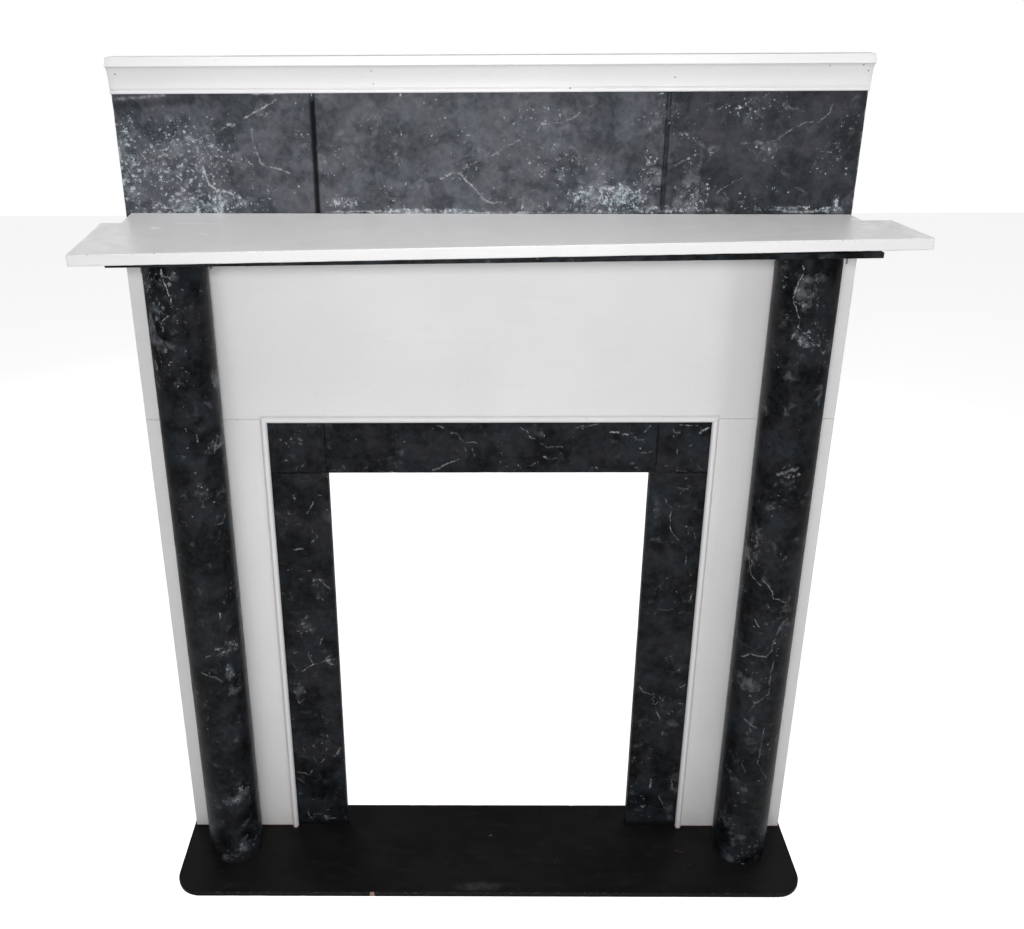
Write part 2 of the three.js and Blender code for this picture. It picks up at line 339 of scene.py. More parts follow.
def veinStrokeGroup():  # one straight length of a brushed vein, in mm
    tree, given = addGroup("veinStroke", {
        "Place": "Vector", "Start": "Vector", "Run": "Vector", "Share": "Vector", "Core": "Float",
        "Reach": "Float", "Strength": "Float", "Under": "Float"})
    fromStart = steer(tree, "SUBTRACT", given["Place"], given["Start"])
    share = steer(tree, "DOT_PRODUCT", fromStart, given["Share"])
    along = reckon(tree, "MAXIMUM", reckon(tree, "MINIMUM", share, 1.0), 0.0)
    nearest = steer(tree, "SCALE", given["Run"], scale=along)
    away = steer(tree, "LENGTH", steer(tree, "SUBTRACT", fromStart, nearest))
    stroke = ramp(tree, away, given["Core"], given["Reach"], given["Strength"], 0.0)
    return closeGroup(tree, stroke, given["Under"])


def speckGroup():  # a single touch of the brush, in mm
    tree, given = addGroup("speck", {
        "Place": "Vector", "Start": "Vector", "Core": "Float", "Reach": "Float", "Strength": "Float",
        "Under": "Float"})
    away = steer(tree, "DISTANCE", given["Place"], given["Start"])
    touch = ramp(tree, away, given["Core"], given["Reach"], given["Strength"], 0.0)
    return closeGroup(tree, touch, given["Under"])


marks = {"core": 0.08, "reach": 0.85, "slack": 1.6,  # shares of a stroke's width, and mm that a bend may lose
         "dabCore": 0.35, "dabReach": 1.25}  # shares of a dab's half size


def spongePatchGroup():  # a soft-edged oval where the sponge was pressed, in mm
    tree, given = addGroup("spongePatch", {
        "Place": "Vector", "Centre": "Vector", "Share": "Vector", "Strength": "Float", "Under": "Float"})
    off = steer(tree, "MULTIPLY", steer(tree, "SUBTRACT", given["Place"], given["Centre"]), given["Share"])
    dab = ramp(tree, steer(tree, "LENGTH", off), marks["dabCore"], marks["dabReach"], given["Strength"], 0.0)
    return closeGroup(tree, dab, given["Under"])


veinStroke, speckTouch, spongePatch = veinStrokeGroup(), speckGroup(), spongePatchGroup()


def cloud(tree, place, size, detail, roughness, seed, colour=False):  # size is in mm
    node = addNode(tree, "ShaderNodeTexNoise", noise_dimensions="3D")
    feed(tree, node.inputs["Vector"], steer(tree, "ADD", place, (seed * 0.37, seed * -0.23, seed * 0.41)))
    for key, value in (("Scale", 1000.0 / size), ("Detail", detail), ("Roughness", roughness)):
        node.inputs[key].default_value = value
    return node.outputs["Color" if colour else "Fac"]


def layer(tree, place, grain, seed, atLow=0.0, atHigh=1.0, smooth=True):  # a mask from a five-number grain
    return ramp(tree, cloud(tree, place, *grain[:3], seed), grain[3], grain[4], atLow, atHigh, smooth)


def drift(tree, place, grain, seed):  # noise vectors round zero
    return steer(tree, "SUBTRACT", cloud(tree, place, *grain, seed, colour=True), (0.5, 0.5, 0.5))


def pushed(tree, place, drifted, reach):
    return steer(tree, "ADD", place, steer(tree, "SCALE", drifted, scale=reach))


def tintBetween(tree, share, a, b, mode="MIX"):
    node = addNode(tree, "ShaderNodeMix", data_type="RGBA", blend_type=mode)
    for socket, value in zip((node.inputs[0], node.inputs[6], node.inputs[7]), (share, a, b)):
        feed(tree, socket, value if isinstance(value, (float, int, bpy.types.NodeSocket)) else (*value, 1))
    return node.outputs[2]


def newFinish(name):
    paint = bpy.data.materials.new(name)
    paint.use_nodes = True
    tree = paint.node_tree
    place = addNode(tree, "ShaderNodeTexCoord").outputs["Object"]
    return paint, tree, tree.nodes["Principled BSDF"], place


def finishName(kind, name):
    return kind + name[0].upper() + name[1:]


def closeFinish(tree, shader, look, colour, roughness, relief):
    feed(tree, shader.inputs["Base Color"], colour)
    feed(tree, shader.inputs["Roughness"], roughness)
    shader.inputs["Specular IOR Level"].default_value = look["specular"]
    entries = {"Strength": look["bump"], "Distance": look["bumpDepth"], "Height": relief}
    feed(tree, shader.inputs["Normal"], grow(tree, "ShaderNodeBump", entries))


def scatter(tree, place, scale):  # how far the nearest chance point is, and that point's luck
    cells = addNode(tree, "ShaderNodeTexVoronoi", feature="F1")
    feed(tree, cells.inputs["Vector"], place)
    cells.inputs["Scale"].default_value = scale
    return cells.outputs["Distance"], splitAxes(tree, cells.outputs["Color"])[0]


def thinOut(points):  # drops the points that lie close to a straight run
    if len(points) < 3:
        return points
    start, end = Vector(points[0]), Vector(points[-1])
    side = (end - start).normalized().orthogonal()
    offs = [abs((Vector(p) - start).dot(side)) for p in points]
    far = offs.index(max(offs))
    if offs[far] < marks["slack"]:
        return [points[0], points[-1]]
    return thinOut(points[:far + 1])[:-1] + thinOut(points[far:])


def layMark(tree, group, place, under, values):
    return grow(tree, "ShaderNodeGroup", {"Place": place, "Under": under, **values}, node_tree=group)


def paintVeins(tree, place, strokes):  # each is (width, strength, points); one point makes a speck
    under = 0.0
    for width, strength, points in strokes:
        points = thinOut(points)
        for start, end in zip(points, points[1:] or points):
            values = {"Start": (start[0], 0, start[1]), "Core": width * marks["core"],
                      "Reach": width * marks["reach"], "Strength": strength}
            along = Vector((end[0] - start[0], 0, end[1] - start[1]))
            if along.length:
                values.update({"Run": along, "Share": along / along.length_squared})
            under = layMark(tree, veinStroke if along.length else speckTouch, place, under, values)
    return under


def pressSponge(tree, place, patches):
    under = 0.0
    for u, z, halfWidth, halfHeight, strength in patches:
        under = layMark(tree, spongePatch, place, under, {
            "Centre": (u, 0, z), "Share": (1 / halfWidth, 0, 1 / halfHeight), "Strength": strength})
    return under


def arrisShare(tree, place, low, high, twist=0.0):  # 1 on a board's edges, 0 from 3 mm inwards
    x, y, z = splitAxes(tree, place)
    if twist:
        z = timesAdd(tree, times(tree, x, y), twist * 1000, z)
    gaps = [minus(tree, (high[i] - low[i]) / 2 * mm,
                  reckon(tree, "ABSOLUTE", minus(tree, axis, (high[i] + low[i]) / 2 * mm)))
            for i, axis in enumerate((x, y, z))]
    least = reckon(tree, "MINIMUM", gaps[0], gaps[1])
    most = reckon(tree, "MAXIMUM", gaps[0], gaps[1])
    middle = reckon(tree, "MAXIMUM", least, reckon(tree, "MINIMUM", most, gaps[2]))
    return ramp(tree, middle, *arrises["soiled"], 1.0, 0.0)


setCamera()
lightRoom()
layFloor()
print("mantelpiece: camera, lights and floor set")


# The painted marble. Each grain is size in mm, detail and roughness, and then the span that its mask uses

def roundColumn(tree, x, y, centreX):  # the way round a column from the middle of its front, in metres
    turn = reckon(tree, "ARCTAN2", minus(tree, x, centreX * mm), minus(tree, columns["centreY"] * mm, y))
    return times(tree, turn, columns["diameter"] / 2 * mm)


def marbleFinish(name, look, strokes, patches, seed, centreX=None, box=None, twist=0.0, shadows=(),
                 whiteAbove=None, fade=None):
    paint, tree, shader, here = newFinish(name)
    x, y, z = splitAxes(tree, here)
    u = x if centreX is None else roundColumn(tree, x, y, centreX)
    flat = steer(tree, "SCALE", joinAxes(tree, u, 0.0, z), scale=1000.0)
    wander, frayed = drift(tree, here, look["wander"], seed + 1), drift(tree, here, look["fray"], seed + 2)
    swirled = pushed(tree, here, wander, look["swirl"])
    brushed = pushed(tree, pushed(tree, flat, wander, look["veinWander"]), frayed, look["veinFray"])
    # ground coats, mottled with a rag
    mottle = layer(tree, swirled, look["mottle"], seed + 14)
    tone = times(tree, layer(tree, swirled, look["tone"], seed + 3), 1 - look["mottleShare"])
    mixed = timesAdd(tree, mottle, look["mottleShare"], tone)
    ground = tintBetween(tree, mixed, look["dark"], look["light"])
    cool = layer(tree, swirled, look["tint"], seed + 4)
    tint = tintBetween(tree, cool, look["warmTint"], look["coolTint"])
    ground = tintBetween(tree, look["tintShare"], ground, tint, "MULTIPLY")
    if fade:  # a darker coat past some distance across
        start, end, kept = fade
        darker = tintBetween(tree, kept, (0, 0, 0), ground)
        ground = tintBetween(tree, ramp(tree, x, start * mm, end * mm), ground, darker)
    # where the sponge was pressed, at listed places and by chance
    chance = layer(tree, here, look["chance"], seed + 9, 0.0, look["chanceDabs"])
    dabbed = reckon(tree, "MAXIMUM", pressSponge(tree, brushed, patches), chance)
    bar = timesAdd(tree, dabbed, -look["smokeDense"], look["smokeStart"])
    smoke = ramp(tree, cloud(tree, swirled, *look["smoke"], seed + 5), bar,
                 reckon(tree, "ADD", bar, look["smokeStep"]))
    ground = tintBetween(tree, times(tree, smoke, look["smokeShare"]), ground, look["smokeColour"])
    # sponged spots, coarse and soft under fine and crisp
    spotColour = tintBetween(tree, cool, look["spotWarm"], look["spotCool"])
    for order, (grain, step, share) in enumerate(look["sponges"], 6):
        bar = timesAdd(tree, dabbed, -look["spongeDense"], look["spongeStart"])
        mask = ramp(tree, cloud(tree, here, *grain, seed + order), bar, reckon(tree, "ADD", bar, step))
        most = look["spongeShare"] * share
        spots = times(tree, mask, ramp(tree, mottle, 0.0, 1.0, most * look["spongeLeast"], most))
        ground = tintBetween(tree, spots, ground, spotColour)
    # small bright specks
    off, luck = scatter(tree, brushed, 1.0 / look["speckSpacing"])
    chosen = ramp(tree, timesAdd(tree, dabbed, look["speckDense"], luck), *look["speckLuck"])
    speck = times(tree, ramp(tree, off, *look["speckEdge"], 1.0, 0.0), chosen)
    ground = tintBetween(tree, times(tree, speck, look["speckShare"]), ground, look["veinColour"])
    # veins laid on with a fine brush
    vein = reckon(tree, "POWER", paintVeins(tree, brushed, strokes), look["veinFalloff"])
    broken = layer(tree, here, look["broken"], seed + 10, look["veinGaps"], 1.0)
    ground = tintBetween(tree, times(tree, times(tree, vein, broken), look["veinShare"]), ground,
                         look["veinColour"])
    darkPaintAndShade = 0.0
    if shadows:  # dark, matt joints and grooves: dark paint, and painted shade in the backboard's grooves and under its cornice
        darkPaintAndShade = paintVeins(tree, pushed(tree, flat, frayed, look["shadowFray"]), shadows)
        ground = tintBetween(tree, darkPaintAndShade, ground, look["shadowColour"])
    if box:  # rubbed edges, and one plain thin coat on the back
        rubbed = times(tree, arrisShare(tree, here, *box, twist), layer(tree, here, look["rub"], seed + 11))
        ground = tintBetween(tree, times(tree, rubbed, look["rubShare"]), ground, look["rubColour"])
        back = box[1][1]
        rear = ramp(tree, y, (back - 0.7) * mm, (back - 0.2) * mm)
        plainCoat = tintBetween(tree, mixed, look["backDark"], look["backLight"])
        ground = tintBetween(tree, rear, ground, plainCoat)
        if shadows:
            darkPaintAndShade = times(tree, darkPaintAndShade, minus(tree, 1.0, rear))
    if whiteAbove:  # the top edge was painted with the cornice
        top = ramp(tree, z, (whiteAbove - 0.4) * mm, whiteAbove * mm)
        ground = tintBetween(tree, top, ground, whitePaintLook["colour"])
    varnish = layer(tree, here, look["sheen"], seed + 12, look["glossRoughness"],
                    look["dullRoughness"], False)
    closeFinish(tree, shader, look, ground, reckon(tree, "MAXIMUM", varnish, darkPaintAndShade),
                cloud(tree, here, *look["relief"], seed + 13))
    return paint


blackMarbleLook = {
    "wander": (16, 1, 0.5), "fray": (2.4, 0, 0.6), "swirl": 0.012,
    "dark": (0.0014, 0.0020, 0.0025), "light": (0.0200, 0.0222, 0.0256), "tone": (60, 3, 0.6, 0.40, 0.62),
    "mottle": (13, 3, 0.68, 0.36, 0.64), "mottleShare": 0.40,
    "warmTint": (1.15, 0.98, 1.05), "coolTint": (0.80, 1.02, 1.12), "tint": (60, 1, 0.55, 0.42, 0.62),
    "tintShare": 0.45, "chance": (55, 1, 0.5, 0.46, 0.66), "chanceDabs": 0.35,
    "smokeColour": (0.105, 0.112, 0.122), "smoke": (34, 3, 0.66), "smokeStart": 0.60, "smokeStep": 0.26,
    "smokeDense": 0.22, "smokeShare": 0.6,
    "sponges": [((14.4, 2, 0.75), 0.16, 0.30), ((8, 2, 0.75), 0.09, 1.0)],  # grain, step, share
    "spongeStart": 0.735, "spongeDense": 0.28, "spongeLeast": 0.3, "spongeShare": 0.85,
    "spotWarm": (0.27, 0.27, 0.29), "spotCool": (0.23, 0.265, 0.285),
    "speckSpacing": 6.5, "speckDense": 0.08, "speckLuck": (0.975, 1.035), "speckEdge": (0.10, 0.26),
    "speckShare": 0.7,
    "veinColour": (0.50, 0.52, 0.54), "veinShare": 0.9, "veinWander": 7.0, "veinFray": 2.6,
    "veinFalloff": 1.3, "broken": (11, 2, 0.75, 0.36, 0.62), "veinGaps": 0.2,
    "shadowColour": (0.003, 0.003, 0.0035), "shadowFray": 1.5,
    "rub": (11, 2, 0.65, 0.42, 0.68), "rubShare": 0.25, "rubColour": (0.12, 0.12, 0.13),
    "backDark": (0.012, 0.012, 0.013), "backLight": (0.022, 0.021, 0.021),
    "sheen": (26, 2, 0.6, 0.3, 0.7), "glossRoughness": 0.34, "dullRoughness": 0.52,
    "specular": 0.12, "bump": 0.3, "bumpDepth": 0.0006, "relief": (3.5, 1, 0.6),
}
slipMarbleLook = dict(blackMarbleLook, rubShare=0.10)
postMarbleLook = dict(blackMarbleLook, glossRoughness=0.26, dullRoughness=0.40, smokeShare=1.0,
                      spongeShare=0.72, veinGaps=0.45)
greyMarbleLook = dict(blackMarbleLook, **{
    "dark": (0.023, 0.028, 0.034), "light": (0.090, 0.094, 0.108), "tone": (55, 3, 0.6, 0.40, 0.62),
    "specular": 0.2, "tintShare": 0.22, "smokeColour": (0.20, 0.21, 0.23), "smoke": (30, 3, 0.66),
    "smokeShare": 0.5, "chanceDabs": 0.45, "spongeDense": 0.30, "spongeShare": 0.9,
    "spotWarm": (0.44, 0.45, 0.49), "spotCool": (0.40, 0.46, 0.50),
    "veinColour": (0.60, 0.62, 0.63), "veinShare": 0.85, "dullRoughness": 0.6,
    "rubShare": 0.5, "rubColour": (0.42, 0.42, 0.42),
})


# White paint on boards and mouldings

def whiteFinish(name, low, high, seed, brushed="x", plane="xz", dark=(), light=(), feet=False, twist=0.0,
                chips=0.5, tone=1.0, soiled=1.0):
    w = whitePaintLook
    paint, tree, shader, here = newFinish(name)
    x, y, z = splitAxes(tree, here)
    flat = steer(tree, "SCALE", joinAxes(tree, x, 0.0, z if plane == "xz" else y), scale=1000.0)
    stretch = (w["stretch"], 1.0, 1.0) if brushed == "x" else (1.0, 1.0, w["stretch"])
    drawn = steer(tree, "MULTIPLY", here, stretch)
    base, worn = (tuple(c * tone for c in w[key]) for key in ("colour", "patchColour"))
    coat = tintBetween(tree, layer(tree, here, w["patch"], seed), base, worn)
    streak = cloud(tree, drawn, *w["streak"][:3], seed + 1)
    coat = tintBetween(tree, ramp(tree, streak, *w["streak"][3:], 0.0, w["streakShare"]), coat,
                       w["streakColour"])
    grime = times(tree, layer(tree, here, w["grime"], seed + 2), w["grimeShare"])
    coat = tintBetween(tree, grime, coat, w["grimeColour"])
    edge = arrisShare(tree, here, low, high, twist)
    rub = layer(tree, here, w["rub"], seed + 3, w["edgeLeast"] * soiled, w["edgeShare"] * soiled)
    coat = tintBetween(tree, times(tree, edge, rub), coat, w["edgeColour"])
    bare = times(tree, edge, layer(tree, here, w["bare"], seed + 4))
    coat = tintBetween(tree, times(tree, bare, chips), coat, w["chipColour"])
    if feet:  # dirt gathers where the board meets the hearth
        height = minus(tree, z, hearthTop * mm)
        for (size, detail, roughness, lift, start, end, share), colour, order in zip(
                w["feet"], ("footColour", "grimeColour"), (5, 6)):
            ragged = timesAdd(tree, cloud(tree, here, size, detail, roughness, seed + order), -lift, height)
            coat = tintBetween(tree, ramp(tree, ragged, start, end, share, 0.0), coat, w[colour])
    if light:
        coat = tintBetween(tree, paintVeins(tree, flat, light), coat, w["splashColour"])
    if dark:
        loose = pushed(tree, flat, drift(tree, here, w["markFray"], seed + 7), w["markReach"])
        coat = tintBetween(tree, paintVeins(tree, loose, dark), coat, w["markColour"])
    sheen = layer(tree, here, w["sheen"], seed + 8, w["glossRoughness"], w["dullRoughness"], False)
    fine = times(tree, cloud(tree, here, *w["relief"], seed + 9), w["reliefShare"])
    closeFinish(tree, shader, w, coat, sheen, timesAdd(tree, streak, w["streakRelief"], fine))
    return paint


whitePaintLook = {
    "colour": (0.795, 0.788, 0.796), "patchColour": (0.765, 0.757, 0.762), "patch": (190, 2, 0.5, 0.3, 0.7),
    "streak": (7, 2, 0.65, 0.42, 0.72), "stretch": 0.06, "streakColour": (0.66, 0.65, 0.64),
    "streakShare": 0.08,
    "grime": (9, 3, 0.7, 0.62, 0.78), "grimeColour": (0.50, 0.46, 0.41), "grimeShare": 0.22,
    "rub": (8, 2, 0.65, 0.44, 0.7), "edgeColour": (0.55, 0.53, 0.49), "edgeLeast": 0.05, "edgeShare": 0.45,
    "bare": (4.5, 1, 0.6, 0.68, 0.74), "chipColour": (0.30, 0.24, 0.19),
    "feet": [(6, 1, 0.6, 0.004, -0.0014, 0.0022, 0.9),  # grain, then lift, from and to in metres, then share
             (30, 2, 0.6, 0.05, -0.03, 0.03, 0.28)],
    "footColour": (0.22, 0.055, 0.045), "splashColour": (0.93, 0.93, 0.92),
    "markColour": (0.035, 0.032, 0.032), "markFray": (3, 2, 0.5), "markReach": 1.2,
    "sheen": (22, 1, 0.6, 0.3, 0.7), "glossRoughness": 0.30, "dullRoughness": 0.48, "specular": 0.4,
    "bump": 0.28, "bumpDepth": 0.0005, "relief": (5, 0, 0.5), "reliefShare": 0.35, "streakRelief": 0.45,
}


# Near-black paint on the hearth board

def hearthFinish():
    h = hearthLook
    paint, tree, shader, here = newFinish("hearthBlack")
    x, y, z = splitAxes(tree, here)
    flat = steer(tree, "SCALE", joinAxes(tree, x, 0.0, y), scale=1000.0)
    loose = pushed(tree, flat, drift(tree, here, h["fray"], 91), h["frayReach"])
    coat = tintBetween(tree, layer(tree, here, h["tone"], 92), h["dark"], h["light"])
    dust = layer(tree, steer(tree, "MULTIPLY", here, h["dustStretch"]), h["dust"], 93)
    coat = tintBetween(tree, times(tree, dust, h["dustShare"]), coat, h["dustColour"])
    smudge = times(tree, pressSponge(tree, loose, h["smudges"]), layer(tree, here, h["smudge"], 94))
    coat = tintBetween(tree, smudge, coat, h["smudgeColour"])
    edge = times(tree, arrisShare(tree, here, *nodeBox("hearth_board")), layer(tree, here, h["rub"], 95))
    coat = tintBetween(tree, edge, coat, h["edgeColour"])
    coat = tintBetween(tree, paintVeins(tree, loose, h["rustMarks"]), coat, h["rustColour"])
    coat = tintBetween(tree, paintVeins(tree, flat, h["chipMarks"]), coat, h["chipColour"])
    off, luck = scatter(tree, here, h["gritScale"])
    grit = times(tree, ramp(tree, off, *h["gritEdge"], 1.0, 0.0), ramp(tree, luck, *h["gritLuck"]))
    coat = tintBetween(tree, times(tree, grit, h["gritShare"]), coat, h["smudgeColour"])
    sheen = ramp(tree, dust, 0.0, 1.0, h["glossRoughness"], h["dullRoughness"], False)
    closeFinish(tree, shader, h, coat, sheen, cloud(tree, here, *h["relief"], 96))
    return paint


hearthLook = {
    "dark": (0.0056, 0.0055, 0.0056), "light": (0.0091, 0.0088, 0.0088), "tone": (120, 2, 0.6, 0.35, 0.65),
    "dust": (16, 3, 0.7, 0.5, 0.8), "dustStretch": (0.35, 1.0, 1.0), "dustColour": (0.022, 0.021, 0.020),
    "dustShare": 0.5, "fray": (5, 3, 0.6), "frayReach": 5.0,
    "smudgeColour": (0.16, 0.15, 0.15), "smudge": (14, 2, 0.7, 0.2, 0.7),
    "smudges": [(-18, -158, 48, 12, 0.20), (560, -12, 20, 10, 0.25)],  # x, y, half sizes, strength
    "rub": (14, 2, 0.7, 0.5, 0.75), "edgeColour": (0.055, 0.050, 0.046),
    "rustColour": (0.14, 0.055, 0.035), "chipColour": (0.46, 0.30, 0.26),
    "rustMarks": [(3.2, 0.35, [(378, -66), (392, -70)]), (3.0, 0.7, [(-604, 58.5), (604, 58.5)])],
    "chipMarks": [(3.6, 0.8, [(-225, -174), (-220, -174)]), (3.0, 0.25, [(6, -27), (10, -26)])],
    "gritScale": 90, "gritEdge": (0.05, 0.10), "gritLuck": (0.975, 0.985), "gritShare": 0.6,
    "glossRoughness": 0.5, "dullRoughness": 0.7, "specular": 0.12, "bump": 0.3, "bumpDepth": 0.0006,
    "relief": (7, 2, 0.65),
}


# Hand-painted marks, in mm: u across the face (round the front on a column), z up from the floor

